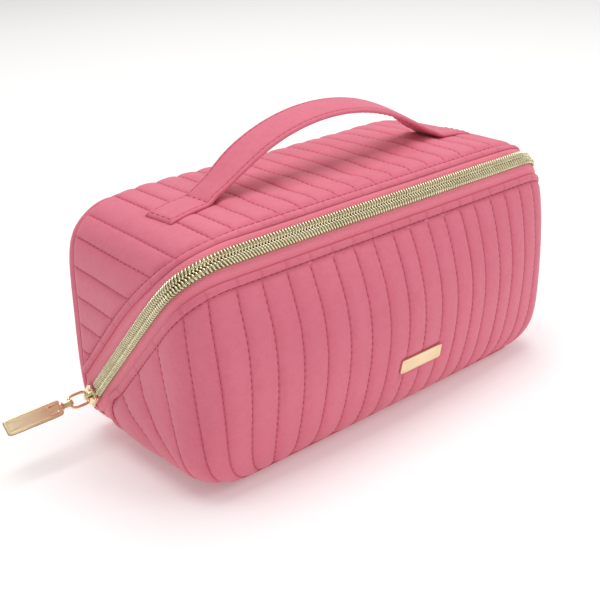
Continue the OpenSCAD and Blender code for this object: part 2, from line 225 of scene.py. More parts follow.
def softness(p):
    # slow unevenness of padded fabric, in and out of the face; fades where the zip has to run true
    x, y, z = p[..., 0], p[..., 1], p[..., 2]
    top = smoothStep((z - padding["topFrom"]) / 14)
    short, long = padding["ripples"]
    ripple = short * np.sin(x / 6.3 + 0.12 * y + 0.6) + long * np.sin(x / 10.7 - 0.07 * y + 2.1)
    ripple *= np.exp(-((y + 12) / 24) ** 2) * np.exp(-(x / 105) ** 4)
    valley = -padding["valley"] * np.exp(-((y + 26) / 10) ** 2) * np.exp(-(x / 100) ** 4)
    a, b, c = padding["swells"]
    slow = (a * np.sin(x / 27 + z / 31 + 0.4) + b * np.sin(z / 17 - y / 23 + 1.3)
            + c * np.sin(y / 19 + x / 41 - 0.7))
    beside = np.maximum(np.abs(overZip(p)) - padding["trueBeside"], 0)
    away = 1 - np.exp(-(beside / padding["trueFade"]) ** 2)
    return away * (slow + top * (ripple + valley))


def grown(name, verts, faces, weld=0.0, flat=False, **values):
    # a mesh object from millimetre points, closed and with its faces turned outward
    mesh = bpy.data.meshes.new(name)
    mesh.from_pydata((np.asarray(verts) * metre).tolist(), [], [tuple(f) for f in faces])
    for key, data in values.items():
        layer = mesh.attributes.new(key, "FLOAT", "POINT")
        layer.data.foreach_set("value", np.asarray(data, np.float32).ravel())
    made = bmesh.new()
    made.from_mesh(mesh)
    if weld:
        bmesh.ops.remove_doubles(made, verts=made.verts, dist=weld * metre)
    bmesh.ops.recalc_face_normals(made, faces=made.faces)
    made.to_mesh(mesh)
    made.free()
    mesh.polygons.foreach_set("use_smooth", [not flat] * len(mesh.polygons))
    obj = bpy.data.objects.new(name, mesh)
    bpy.context.scene.collection.objects.link(obj)
    return obj


def gridFaces(m, n, start=0, loop=False):
    i = np.arange(m if loop else m - 1)[:, None]
    j = np.arange(n - 1)[None, :]
    k = (i + 1) % m
    return np.stack([start + i * n + j, start + k * n + j, start + k * n + j + 1,
                     start + i * n + j + 1], -1).reshape(-1, 4)


def shell(name, outer, inner, loop=False, **values):
    # closed sheet between two grids of the same size; loop joins the first column to the last
    m, n = outer.shape[:2]
    verts = np.concatenate([outer.reshape(-1, 3), inner.reshape(-1, 3)])
    half = m * n
    faces = [gridFaces(m, n, 0, loop), gridFaces(m, n, half, loop)[:, ::-1]]
    columns = np.arange(m if loop else m - 1)
    for j in (0, n - 1):
        a, b = columns * n + j, ((columns + 1) % m) * n + j
        faces.append(np.stack([a, b, b + half, a + half], -1))
    if not loop:
        rows = np.arange(n - 1)
        for i in (0, m - 1):
            a = i * n + rows
            faces.append(np.stack([a, a + 1, a + 1 + half, a + half], -1))
    both = {k: np.concatenate([np.asarray(v).reshape(-1)] * 2) for k, v in values.items()}
    return grown(name, verts, np.concatenate(faces), weld=0.004, **both)


def tube(rings, closed=False):
    # verts and faces of a skin over rings of points; open ends are capped with a fan
    m, n = rings.shape[:2]
    i = np.arange(m if closed else m - 1)[:, None]
    j = np.arange(n)[None, :]
    k, l = (i + 1) % m, (j + 1) % n
    faces = np.stack([i * n + j, k * n + j, k * n + l, i * n + l], -1).reshape(-1, 4).tolist()
    verts = rings.reshape(-1, 3)
    if not closed:
        verts = np.concatenate([verts, rings[:1].mean(1), rings[-1:].mean(1)])
        for q in range(n):
            faces.append([q, (q + 1) % n, m * n])
            faces.append([(m - 1) * n + (q + 1) % n, (m - 1) * n + q, m * n + 1])
    return verts, faces


def gathered(name, parts, **values):
    # one object from several (verts, faces)
    verts, faces, count = [], [], 0
    for v, f in parts:
        verts.append(np.asarray(v))
        faces += [[a + count for a in face] for face in f]
        count += len(v)
    return grown(name, np.concatenate(verts), faces, **values)


def alongLine(points):
    d = np.linalg.norm(np.diff(points, axis=0), axis=1)
    return np.concatenate([[0], np.cumsum(d)])


def unit(v, least=0.0):
    return v / (np.linalg.norm(v, axis=-1, keepdims=True) + least)


def eased(a, passes):
    # rounds off corners in place; the two ends stay
    for _ in range(passes):
        a[1:-1] = (a[:-2] + 2 * a[1:-1] + a[2:]) / 4
    return a


def resample(points, count):
    s = alongLine(points)
    t = np.linspace(0, s[-1], count)
    return np.stack([np.interp(t, s, points[:, c]) for c in range(points.shape[1])], -1)


def stitchRun(points, normals, length=2.35, gap=1.15, radius=0.30, lift=0.16, sink=0.55):
    # thread that dives into the fabric at each hole: a list of (verts, faces)
    s = alongLine(points)
    total, parts = s[-1], []
    count = max(int(total // (length + gap)), 1)
    step = total / count
    at = lambda a, t: np.stack([np.interp(t, s, a[:, c]) for c in range(3)], -1)
    u = np.array([0, 0.14, 0.5, 0.86, 1.0])
    rise = np.array([-sink, -sink * 0.1, lift, -sink * 0.1, -sink])
    size = radius * np.array([0.7, 1, 1.08, 1, 0.7])
    ring = np.arange(5) * math.pi / 2.5
    for k in range(count):
        t = k * step + gap / 2 + u * (step - gap)
        p, n = at(points, t), at(normals, t)
        n = unit(n)
        along = unit(np.gradient(p, axis=0), 1e-9)
        side = np.cross(along, n)
        centre = p + n * rise[:, None]
        rings = (centre[:, None] + size[:, None, None]
                 * (np.cos(ring)[None, :, None] * side[:, None] + np.sin(ring)[None, :, None] * n[:, None]))
        parts.append(tube(rings))
    return parts


# finishes

class Flow:
    # a value in a node tree, so that a mask can be written as a sum
    def __init__(self, tree, socket):
        self.tree, self.socket = tree, socket

    def math(self, operation, *others):
        node = self.tree.nodes.new("ShaderNodeMath")
        node.operation = operation
        for k, v in enumerate((self, *others)):
            if isinstance(v, Flow):
                self.tree.links.new(v.socket, node.inputs[k])
            else:
                node.inputs[k].default_value = v
        return Flow(self.tree, node.outputs[0])

    def __add__(self, other):
        return self.math("ADD", other)

    __radd__ = __add__

    def __mul__(self, other):
        return self.math("MULTIPLY", other)

    __rmul__ = __mul__

    def __sub__(self, other):
        return self.math("SUBTRACT", other)

    def __rsub__(self, other):
        return (self * -1.0).math("ADD", other)

    def clamp(self):
        return self.math("MAXIMUM", 0.0).math("MINIMUM", 1.0)


class Finish:
    # one material: constants go on the shader's own sockets, changing values come by link
    def __init__(self, name, **constants):
        self.material = bpy.data.materials.new(name)
        self.material.use_nodes = True
        self.tree = self.material.node_tree
        self.shader = self.tree.nodes["Principled BSDF"]
        for key, value in constants.items():
            self.shader.inputs[key.replace("_", " ")].default_value = value

    def node(self, kind, settings=None, inputs=None, output=0):
        node = self.tree.nodes.new("ShaderNode" + kind)
        for key, value in (settings or {}).items():
            setattr(node, key, value)
        for key, value in (inputs or {}).items():
            if isinstance(value, Flow):
                self.tree.links.new(value.socket, node.inputs[key])
            else:
                node.inputs[key].default_value = value
        return Flow(self.tree, node.outputs[output])

    def place(self):
        return self.node("TexCoord", output=3)

    def value(self, name):
        return self.node("Attribute", {"attribute_name": name}, output=2)

    def noise(self, scale, detail=2.0, roughness=0.5):
        return self.node("TexNoise", None, {"Vector": self.place(), "Scale": scale,
                                            "Detail": detail, "Roughness": roughness})

    def mix(self, factor, a, b):
        return self.node("Mix", {"data_type": "RGBA"}, {0: factor, 6: a, 7: b}, output=2)

    def bump(self, height, strength, distance):
        return self.node("Bump", None, {"Height": height, "Strength": strength, "Distance": distance})

    def feed(self, socket, flow):
        self.tree.links.new(flow.socket, self.shader.inputs[socket])


def rgb(r, g, b):
    return (r, g, b, 1.0)


def softLeather(name, colour, deep, pale):
    # matte leatherette: fine pebbled grain, slow dye variation, painted shade in the sewn grooves and seams,
    # painted highlight on the puff crests
    f = Finish(name, Sheen_Weight=0.18, Sheen_Roughness=0.45, Specular_IOR_Level=0.32)
    slow = f.noise(17.0, 3.0, 0.55)
    fine = f.noise(1500.0, 4.0, 0.6)
    mottle = f.noise(240.0, 3.0, 0.6)
    pebble = f.node("TexVoronoi", {"feature": "SMOOTH_F1"}, {"Vector": f.place(), "Scale": 1150.0,
                                                            "Smoothness": 0.35})
    dip, crest = f.value("dip"), f.value("crest")
    tone = f.mix((slow * 1.6 - 0.45).clamp() * 0.5, colour, pale)
    tone = f.mix((mottle - 0.42).clamp() * 0.55, tone, deep)
    tone = f.mix((pebble * 1.1 - 0.35).clamp() * 0.22, tone, deep)
    # painted shade: dip darkens the colour in sewn grooves, stitch holes and seams
    tone = f.mix((dip * 0.9).clamp(), tone, deep)
    # painted highlight: crest lightens the puff crests, the band crowns and the strap edges
    tone = f.mix((crest * 0.3).clamp(), tone, pale)
    f.feed("Base Color", tone)
    f.feed("Roughness", 0.56 + fine * 0.16 + dip * 0.08 - crest * 0.05)
    f.feed("Normal", f.bump(fine * 0.6 + pebble * 0.7 + mottle * 0.5, 0.22, 0.00018))
    return f.material


def twill(name, colour, deep):
    # zip tape: diagonal ribs laid out by distance along and across the tape
    f = Finish(name, Sheen_Weight=0.3, Sheen_Roughness=0.4, Specular_IOR_Level=0.25)
    along, over = f.value("along"), f.value("over")
    ribs = ((along * 0.7 + over) * 6.4).math("SINE") * 0.5 + 0.5
    threads = ((along * 0.7 - over) * 11.0).math("SINE") * 0.5 + 0.5
    fuzz = f.noise(1900.0, 3.0, 0.6)
    slow = f.noise(26.0, 2.0)
    tone = f.mix((ribs * 0.42 + threads * 0.12 + fuzz * 0.25 - 0.1).clamp(), deep, colour)
    tone = f.mix((slow * 0.5 - 0.1).clamp(), tone, colour)
    f.feed("Base Color", tone)
    f.feed("Roughness", 0.62 + fuzz * 0.2)
    f.feed("Normal", f.bump(ribs * 0.8 + threads * 0.25 + fuzz * 0.3, 0.5, 0.00022))
    return f.material


def plainWeave(name, colour, deep, pitch=0.9):
    # thin woven lining
    f = Finish(name, Sheen_Weight=0.2, Specular_IOR_Level=0.3)
    grain = {"wave_type": "BANDS"}
    warp = f.node("TexWave", {**grain, "bands_direction": "X"},
                  {"Vector": f.place(), "Scale": 320 / pitch, "Distortion": 0.6, "Detail": 1.0})
    weft = f.node("TexWave", {**grain, "bands_direction": "Z"},
                  {"Vector": f.place(), "Scale": 320 / pitch, "Distortion": 0.6, "Detail": 1.0})
    slow = f.noise(22.0, 2.0)
    slub = f.noise(420.0, 3.0, 0.6)
    tone = f.mix((warp * 0.12 + weft * 0.12 + slub * 0.5 + slow * 0.4).clamp(), deep, colour)
    f.feed("Base Color", tone)
    f.feed("Roughness", 0.68 + slow * 0.18)
    f.feed("Normal", f.bump(warp * 0.3 + weft * 0.3 + slub * 0.6, 0.2, 0.0001))
    return f.material


def paleGold(name, colour, shade, rough=0.16, brushed=0.0):
    # plated metal: small changes of tone and polish, faint handling marks
    f = Finish(name, Metallic=1.0)
    slow = f.noise(90.0, 3.0, 0.6)
    streak = f.node("TexNoise", None, {"Vector": f.node("Mapping", None, {"Vector": f.place(),
                    "Scale": (60.0, 900.0, 900.0)}), "Scale": 3.0, "Detail": 4.0, "Roughness": 0.7})
    marks = (f.noise(520.0, 5.0, 0.65) - 0.55).clamp()
    f.feed("Base Color", f.mix((slow * 1.3 - 0.3).clamp(), colour, shade))
    f.feed("Roughness", rough + slow * 0.09 + marks * 0.5 + streak * (0.12 * brushed))
    f.feed("Normal", f.bump(streak * (0.25 + brushed) + marks, 0.06 + 0.12 * brushed, 0.00008))
    return f.material


def thread(name, colour, deep):
    f = Finish(name, Sheen_Weight=0.4, Specular_IOR_Level=0.35)
    ply = f.node("TexWave", {"wave_type": "BANDS", "bands_direction": "DIAGONAL"},
                 {"Vector": f.place(), "Scale": 900.0, "Distortion": 0.4})
    f.feed("Base Color", f.mix(ply, deep, colour))
    f.feed("Roughness", 0.5 + ply * 0.2)
    f.feed("Normal", f.bump(ply, 0.4, 0.0001))
    return f.material


# deep is the colour of the pebbled grain and mottle and also of the painted shade in grooves; pale is the
# slow tone change and also the painted crest highlight
pink = {"colour": rgb(0.74, 0.168, 0.243), "deep": rgb(0.57, 0.070, 0.132), "pale": rgb(0.84, 0.240, 0.320)}
finishes = {
    "leather": softLeather("quiltedLeather", **pink),
    # the tape's pink is raised past its own colour to stand in for the highlight on its bulge (painted
    # highlight)
    "tape": twill("zipTapeTwill", rgb(0.98, 0.295, 0.375), rgb(0.82, 0.19, 0.265)),
    "lining": plainWeave("liningCloth", rgb(0.66, 0.36, 0.40), rgb(0.50, 0.24, 0.28)),
    "binding": plainWeave("bindingCloth", rgb(0.60, 0.25, 0.31), rgb(0.44, 0.15, 0.20), 0.7),
    "gold": paleGold("paleGold", rgb(0.93, 0.79, 0.52), rgb(0.85, 0.67, 0.42)),
    "coil": paleGold("coilGold", rgb(0.90, 0.84, 0.60), rgb(0.74, 0.66, 0.42), 0.22),
    # dark metal of painted shade: fills the gaps of the zip coils and the groove round the pull bar's edge
    "shadeMetal": paleGold("coilShadow", rgb(0.38, 0.31, 0.16), rgb(0.26, 0.20, 0.10), 0.45),
    "brushed": paleGold("brushedGold", rgb(0.92, 0.81, 0.54), rgb(0.84, 0.71, 0.43), 0.24, 0.8),
    "thread": thread("roseThread", rgb(0.60, 0.055, 0.118), rgb(0.45, 0.034, 0.082)),
}


def dressed(obj, finish, body=None, nodes=()):
    # material, body, slot and the nodes that a piece stands for
    obj.data.materials.clear()
    obj.data.materials.append(finishes[finish])
    if body:
        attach(obj, body)
    if nodes:
        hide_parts(*nodes)
    return obj


# quilted panels

quilt = {
    "puff": 1.28,          # from stitch to crest
    "sunk": 0.84,          # how far the stitches lie below the body's face
    "depth": 3.5,          # where the lining starts
    "offsets": [0, 0.025, 0.07, 0.14, 0.25, 0.40, 0.58, 0.75, 0.86, 0.93, 0.975],
    "needlePitch": 3.5,
    "pucker": 0.22,        # lift between two needle holes, close to the line
    "tuck": 0.10,          # slower waves, further from it
    "uneven": 0.16,
}


def channelColumns(count):
    # column places in quilt lines, close together by each line
    q = [k + o for k in range(count) for o in quilt["offsets"]]
    return np.array(q + [count])


def puffAt(q):
    d = np.abs(q - np.round(q))
    return 1 - 0.62 * (1 - 2 * d) ** 2.3 - 0.38 * (1 - 2 * d) ** 10


def fade(distance, width=2.2):
    return 1 - np.exp(-(np.maximum(distance, 0) / width) ** 2)


def rowLengths(base):
    steps = np.linalg.norm(np.diff(base, axis=1), axis=2)
    return np.concatenate([np.zeros((len(base), 1)), np.cumsum(steps, 1)], 1)


def distances(base, q, count, foot=1.0, ends=0.0):
    # mm to the nearest sewn line, and to the nearest border of the panel
    width = np.linalg.norm(np.gradient(base, axis=0), axis=-1) / np.gradient(q)[:, None]
    run = rowLengths(base)
    edge = np.minimum(run[:, -1:] - run, run * foot)
    fromLine = np.abs(q - np.round(q))[:, None] * width
    return fromLine, np.minimum(edge, np.minimum(q, count - q)[:, None] * width + ends)


def quilted(name, base, inner, q, fromLine, edge):
    # base and inner are grids [column, row]; q the column places
    n = normalsOf(base)
    run = rowLengths(base)
    puff = puffAt(q)[:, None] * fade(edge)
    for end in (0, len(q) - 1):
        reach = np.abs(q - q[end])[:, None] < 0.5
        puff = np.where(reach, puff * fade(edge, 2.6), puff)
    needle = 2 * np.pi * run / quilt["needlePitch"]
    pucker = quilt["pucker"] * np.exp(-(fromLine / 0.9) ** 2) * (0.5 - 0.5 * np.cos(needle))
    tuck = quilt["tuck"] * np.exp(-(fromLine / 3.2) ** 2) * np.cos(needle + q[:, None] * 2.1)
    uneven = 1 + quilt["uneven"] * np.sin(q * 2.7)[:, None] * np.sin(run / 21 + q[:, None])
    height = quilt["puff"] * puff * uneven - quilt["sunk"] + (pucker + tuck) * fade(edge) + softness(base)
    outer = base + n * height[..., None]
    holes = 0.5 - 0.5 * np.cos(needle)
    # painted shade mask: darker along each sewn line and its needle holes, and near the panel's seams
    dip = np.exp(-(fromLine / 0.55) ** 2) * (0.38 + 0.34 * holes) + 0.3 * np.exp(-(edge / 1.0) ** 2)
    # painted highlight mask: lighter on the tops of the puffed channels
    crest = np.clip(puff - 0.75, 0, 1) * 2
    obj = shell(name, outer, inner + n * 0.25 * softness(base)[..., None],
                dip=np.clip(dip, 0, 1), crest=crest)
    return obj, outer, n


def pressed(a, b, halfA, halfB, there):
    # mm from a patch that something sewn or fixed on holds flat
    away = np.hypot(np.maximum(np.abs(a) - halfA, 0), np.maximum(np.abs(b) - halfB, 0))
    return np.where(there, away, 99)


def lineRun(outer, n, column):
    return outer[column, 2:-2], n[column, 2:-2]


# Tray panel. Each sewn line: distances round the plan at five heights, from the base seam to the top.
trayLines = {
    "rearLeft": [19.4, 19.8, 20.2, 20.8, 21.7],
    "end": [[63, 60, 54, 40, 33.8], [79, 75, 62.5, 54.3, 51.9], [84, 80.8, 76.7, 73, 70.6],
            [95.5, 94, 92.2, 90.8, 89.7], [105.5, 104.5, 103.2, 102, 100.9]],
    "front": [-96.7, -82.8, -68.6, -55, -41.1, -27.6, -15.1, -1.8, 9.9, 22.4, 34.6, 46.7, 57.8, 70.6,
              82.2, 94.6, 105.5],
    "stitchDrop": 12.0,     # below the zip's middle
    "bandDrop": 10.7,
    # where the band turns down to the base: distances round the plan, and heights
    "bandFoot": [17.3, 17.7, 18.4, 19.7, 22.3, 25.6],
    "bandFootHeights": [3.9, 12.5, 19.5, 25.2, 30.4, 34.4],
}
heights = np.linspace(0, 1, 5)
topShare = sideShare(np.array(102.0))
tauTable = [trayLines["rearLeft"]] + trayLines["end"]
for x in trayLines["front"]:
    tauTable.append([frontStart + hl - rf + x * (1 if k < 4 else 1 / topShare) for k in range(5)])
for row in reversed(trayLines["end"][:4]):
    tauTable.append([frontEnd - t for t in row])
tauTable.append([frontEnd - t for t in trayLines["rearLeft"]])
tauTable = np.array(tauTable, float)
channels = len(tauTable) - 1


def topOfWall(tau, drop, low=3.0):
    # height at which a wall column reaches a distance below the zip's middle
    return solve(lambda z: overZip(wallAt(tau, z)), low, 124.0, 0 * tau - drop)


def trayGrid(q, f, inset, drop):
    at = lambda level: np.interp(q, np.arange(channels + 1), tauTable[:, level])
    levels = np.stack([at(k) for k in range(5)], -1)
    tauTop = levels[:, 4]
    zTop = topOfWall(tauTop, drop)
    z = bag["baseSeam"] + f[None, :] * (zTop[:, None] - bag["baseSeam"])
    tau = np.stack([np.interp(f, heights, row) for row in levels])
    # the middle of the front keeps its lines upright where the foot draws in
    offMiddle = tau - (frontStart + hl - rf)
    middle = 1 - smoothStep((np.abs(offMiddle) - 60) / 50)
    low = np.minimum(z, bag["bellyHeight"])
    tau = tau + offMiddle * middle * (1 / sideShare(low) - 1)
    eased(tau.T, 2)         # the corners of the five-height table
    return wallAt(tau, z, inset)


print("front panel")
q = channelColumns(channels)
f = np.linspace(0, 1, 96)
base = trayGrid(q, f, 0.0, trayLines["stitchDrop"])
inner = trayGrid(q, f, quilt["depth"], trayLines["stitchDrop"] + 0.8)
fromLine, edge = distances(base, q, channels, foot=1.4)
# the nameplate presses its patch of the quilting flat
plateLow, plateHigh = (np.array(v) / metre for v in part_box("nameplate"))
plateMiddle = (plateLow + plateHigh) / 2
press = pressed(base[..., 0] - plateMiddle[0], base[..., 2] - plateMiddle[2], 14.0, 4.0, base[..., 1] < 0)
frontPanel, trayOuter, trayNormals = quilted("frontPanel", base, inner, q, fromLine,
                                             np.minimum(edge, 0.9 + press * 0.8))
dressed(frontPanel, "leather", "tray",
        ["front_panel", "front_padding", "tray_end_paddings"])
perChannel = len(quilt["offsets"])
trayStitches = []
for k in range(1, channels):
    line, up = lineRun(trayOuter, trayNormals, k * perChannel)
    hidden = ((np.abs(line[:, 0] - plateMiddle[0]) < 16) & (np.abs(line[:, 2] - plateMiddle[2]) < 5.5)
              & (line[:, 1] < 0))
    if hidden.any():
        first, last = np.argmax(hidden), len(hidden) - np.argmax(hidden[::-1])
        trayStitches += stitchRun(line[:first], up[:first]) + stitchRun(line[last:], up[last:])
    else:
        trayStitches += stitchRun(line, up)

# lid panel, a strip over the left end, the top and the right end
lidLines = {
    "left": [(-122.0, 49.0), (-122.0, 63.0), (-122.0, 77.2), (-122.0, 92.9), (-118.8, 107.8),
             (-110.6, 117.0)],
    "top": [-99.0, -86.3, -73.4, -60.4, -48.4, -37.0, -25.2, -12.8, 0, 12.6, 25.0, 37.5, 49.8, 62.2, 74.6,
            87.0, 99.0],
    "eye": 60.0,            # height of the line that the columns fan out from
    "fan": 0.05,
    "tip": 38.6,
    "stitchRise": 10.4,
    "bandRise": 9.0,
    "endRise": 3.3,         # the seam stands this much further off the zip low on the ends
}


def lidRise(p, rise):
    return rise + lidLines["endRise"] * smoothStep((115 - p[..., 2]) / 40)


def fanAt(beta, y, inset=0.0):
    origin = np.stack([0 * y + 0 * beta, y + 0 * beta, lidLines["eye"] + 0 * y + 0 * beta], -1)
    return castOut(origin, np.stack([-np.cos(beta), 0 * beta, np.sin(beta)], -1) + 0 * origin, inset)


betaFine = np.linspace(-0.35, math.pi + 0.35, 3000)
sectionFine = fanAt(betaFine, 0 * betaFine)
sigmaFine = alongLine(sectionFine)
sigmaMiddle = np.interp(math.pi / 2, betaFine, sigmaFine)
sigmaFine = sigmaFine - sigmaMiddle


def sigmaOf(x, z):
    return np.interp(math.atan2(z - lidLines["eye"], -x), betaFine, sigmaFine)


tipSigma = sigmaOf(-122.0, lidLines["tip"])
sigmas = [tipSigma] + [sigmaOf(*p) for p in lidLines["left"]]
sigmas += [sigmaOf(x, bag["height"]) for x in lidLines["top"]]
sigmas += [-s for s in reversed(sigmas[:7])]
sigmas = np.array(sigmas)
lidChannels = len(sigmas) - 1


def lidGrid(q, f, inset, rise):
    sigma = np.interp(q, np.arange(lidChannels + 1), sigmas)

    def betaAt(y):
        fanned = sigma + lidLines["fan"] * (y - bag["backSeam"]) * np.clip(-sigma / 100, -1, 1)
        return np.interp(fanned, sigmaFine, betaFine)

    front = solve(lambda y: overZip(fanAt(betaAt(y), y)) - lidRise(fanAt(betaAt(y), y), rise),
                  -53.0, bag["backSeam"] - 0.35, 0 * sigma)
    y = front[:, None] + f[None, :] * (bag["backSeam"] - 0.1 - front[:, None])
    fanned = sigma[:, None] + lidLines["fan"] * (y - bag["backSeam"]) * np.clip(-sigma / 100, -1, 1)[:, None]
    return fanAt(np.interp(fanned, sigmaFine, betaFine), y, inset)


print("lid panel")
q = channelColumns(lidChannels)
f = np.linspace(0, 1, 80)
base = lidGrid(q, f, 0.0, lidLines["stitchRise"])
inner = lidGrid(q, f, quilt["depth"], lidLines["stitchRise"] + 0.8)
fromLine, edge = distances(base, q, lidChannels, ends=0.3)
# the sewn tabs press the quilting under them
strap = {
    "offset": leanLine[1], "width": 20.0, "half": 76.0, "thickness": 2.5, "tabThickness": 2.1,
}
press = pressed(np.abs(base[..., 0]) - strap["half"] - 12, base[..., 1] - strap["offset"], 12.0, 9.0,
                base[..., 2] > 110)
lidPanel, lidOuter, lidNormals = quilted("lidPanel", base, inner, q, fromLine,
                                         np.minimum(edge, 1.3 + press * 0.5))
dressed(lidPanel, "leather", "lid", ["lid_panel", "top_padding", "lid_end_paddings"])
lidStitches = []
for k in range(1, lidChannels):
    line, up = lineRun(lidOuter, lidNormals, k * perChannel)
    if alongLine(line)[-1] > 5:
        lidStitches += stitchRun(line, up)

# back panel
print("back panel")
backSettings = {"low": 9.4, "lines": 18, "margin": 1.6}
backFrom, backTo = frontEnd + backSettings["margin"], loopLength - backSettings["margin"]
rearStraight = np.linspace(planMarks[6] - 2, planMarks[7] + 2, backSettings["lines"])
tauLines = np.concatenate([[backFrom, (backFrom + rearStraight[0]) / 2 + 1], rearStraight,
                           [(backTo + rearStraight[-1]) / 2 - 1, backTo]])
backChannels = len(tauLines) - 1
q = channelColumns(backChannels)
tau = np.interp(q, np.arange(backChannels + 1), tauLines)
f = np.linspace(0, 1, 84)


def backGrid(inset, trim):
    _, planY, _, _ = planAt(tau)
    keep = np.clip((bag["backSeam"] + trim) / planY, 0, 0.9995)
    rise = (1 - keep ** bag["shoulderPower"]) ** (1 / bag["shoulderPower"])
    drop = (1 - keep ** bag["footPower"]) ** (1 / bag["footPower"])
    high = bag["bellyHeight"] + rise * (bag["height"] - bag["bellyHeight"])
    low = np.maximum(bag["bellyHeight"] - drop * (bag["bellyHeight"] + bag["footFlat"]), backSettings["low"])
    # rows by distance along the wall, so that they stay even round the shoulder
    zTry = low[:, None] + (high - low)[:, None] * np.linspace(0, 1, 400)[None, :]
    wall = wallAt(tau[:, None], zTry, 0.0)
    out = np.empty((len(tau), len(f), 3))
    for k in range(len(tau)):
        s = alongLine(wall[k])
        zRow = np.interp(f * s[-1], s, zTry[k])
        out[k] = wallAt(np.full(len(f), tau[k]), zRow, inset)
    return out


base, inner = backGrid(0.0, 0.1), backGrid(quilt["depth"], 0.1)
fromLine, edge = distances(base, q, backChannels, ends=0.2)
backPanel, backOuter, backNormals = quilted("backPanel", base, inner, q, fromLine, edge)
dressed(backPanel, "leather", "lid", ["back_panel", "back_padding"])
for k in range(1, backChannels):
    lidStitches += stitchRun(*lineRun(backOuter, backNormals, k * perChannel))

def drawnIn(rows, shares):
    # the last ring again, smaller and smaller towards the middle
    return rows + [rows[-1] * [k, k, 1] for k in shares]


# base panel and the ring where it meets the walls
print("base")
baseSettings = {"columns": 260, "skin": 1.2, "shrink": (0.96, 0.85, 0.65, 0.4, 0.15)}
tau = np.linspace(0, loopLength, baseSettings["columns"], endpoint=False)
zFoot = bag["baseSeam"] * (1 - np.linspace(0, 1, 9)) ** 1.6
outer = np.stack(drawnIn([wallAt(tau, np.full_like(tau, v)) for v in zFoot], baseSettings["shrink"]), 1)
inner = np.stack(drawnIn([wallAt(tau, np.full_like(tau, max(v, 0) + 1.25), baseSettings["skin"])
                          for v in zFoot], baseSettings["shrink"]), 1)
# painted shade along the base seam
dip = np.zeros(outer.shape[:2])
dip[:, 0] = 0.8
basePanel = shell("basePanel", outer, inner, loop=True, dip=dip, crest=dip * 0)
dressed(basePanel, "leather", "tray", ["base_panel"])

# along the zip
def zipRay(phi, n, inset=0.0):
    phi, n = np.broadcast_arrays(phi, n)
    direction = (-np.sin(phi)[..., None] * np.array([1.0, 0, 0]) + np.cos(phi)[..., None] * downhill)
    return castOut(zipCentre + n[..., None] * across, direction, inset)


# how far down the slope each piece along the zip ends
zipEnds = {"low": 62.65, "stopLength": 2.4, "coilBack": 2.6, "coilLid": 47.3, "tapeTray": 62.4,
           "tapeLid": 60.0, "bindingTray": 60.0, "bindingLid": 49.0}
phiFine = np.linspace(math.radians(50), math.radians(310), 2600)
zipFine = zipRay(phiFine, 0 * phiFine)
lengthFine = alongLine(zipFine)
downFine = (zipFine - zipCentre) @ downhill


def zipPlace(down, side=-1):
    # distance along the zip at which it is so far down the slope, on the left (-1) or right end
    half = len(phiFine) // 2
    if side < 0:
        return np.interp(-down, -downFine[:half], lengthFine[:half])
    return np.interp(down, downFine[half:], lengthFine[half:])


def zipPoint(t, n, inset=0.0):
    return zipRay(np.interp(t, lengthFine, phiFine), n, inset)


def ribbon(centre, normal, section, pinch=None):
    # centre [m, 3], normal [m, 3]; section is a list of (sideways, outward); grid [m, len(section)]
    side = unit(np.cross(unit(np.gradient(centre, axis=0)), normal))
    section = np.asarray(section, float)
    out = section[None, :, 1] * (1 if pinch is None else pinch[:, None]) + 0 * centre[:, :1]
    return centre[:, None] + side[:, None] * section[None, :, :1] + normal[:, None] * out[..., None]


def easedLine(points, count, passes):
    return eased(resample(points, count), passes)


def faceNormal(points):
    # outward direction of the body's face near some points, from its own slopes
    lift = []
    for axis in range(3):
        shift = np.zeros(3)
        shift[axis] = 0.4
        lift.append(faceGap(points + shift) - faceGap(points - shift))
    n = np.stack(lift, -1)
    return unit(n, 1e-9)


def faceGap(p):
    # signed distance-like value that grows outward
    x, y, z = p[..., 0], p[..., 1], p[..., 2]
    s = sideShare(z)
    fullY = y / s
    for _ in range(4):
        share = swellShare(x / s / endAt(fullY / hd) / hl, fullY / hd)
        fullY = (y + share * swellAt(z)) / s
    fullX = x / s / endAt(fullY / hd)
    r = np.where(fullY > 0, rb, rf)
    qx, qy = np.abs(fullX) - (hl - r), np.abs(fullY) - (hd - r)
    return np.hypot(np.maximum(qx, 0), np.maximum(qy, 0)) + np.minimum(np.maximum(qx, qy), 0) - r


# rolled bands beside the zip
print("bands")
band = {"half": 2.0, "crown": 1.15, "sunk": 0.8, "under": -1.3, "pinch": 0.24, "sections": 13}
u = np.sin(np.linspace(-1, 1, band["sections"]) * math.pi / 2)
bandTop = [(band["half"] * v, band["crown"] * (1 - abs(v) ** 2.6) - band["sunk"]) for v in u]
bandFoot = [(band["half"] * 0.96 * v, band["under"]) for v in u]


def rolledBand(name, line, lineEnds):
    n = unit(eased(faceNormal(line), 6))
    s = alongLine(line)
    tight = np.zeros(len(line))
    for end in lineEnds:
        near = np.argmin(np.linalg.norm(line - end, axis=1))
        tight += np.exp(-((s - s[near]) / 0.9) ** 2)
    tight = np.clip(tight, 0, 1)
    swell = 1 + 0.06 * np.sin(s / 5.1) + 0.05 * np.sin(s / 2.3 + 1)
    top, foot = ribbon(line, n, bandTop), ribbon(line, n, bandFoot)
    rise = np.array([p[1] + band["sunk"] for p in bandTop])
    top += n[:, None] * (rise[None] * (swell - 1 - band["pinch"] * tight)[:, None])[..., None]
    across2 = np.abs(u)[None, :] + 0 * s[:, None]
    # painted shade at the band's edges and where the quilt lines pinch it
    dip = np.clip(0.75 * (across2 > 0.93) + 0.4 * tight[:, None] * (across2 < 0.9), 0, 1)
    # painted highlight along the band's crown
    return shell(name, top, foot, dip=dip, crest=0.3 * (1 - across2))


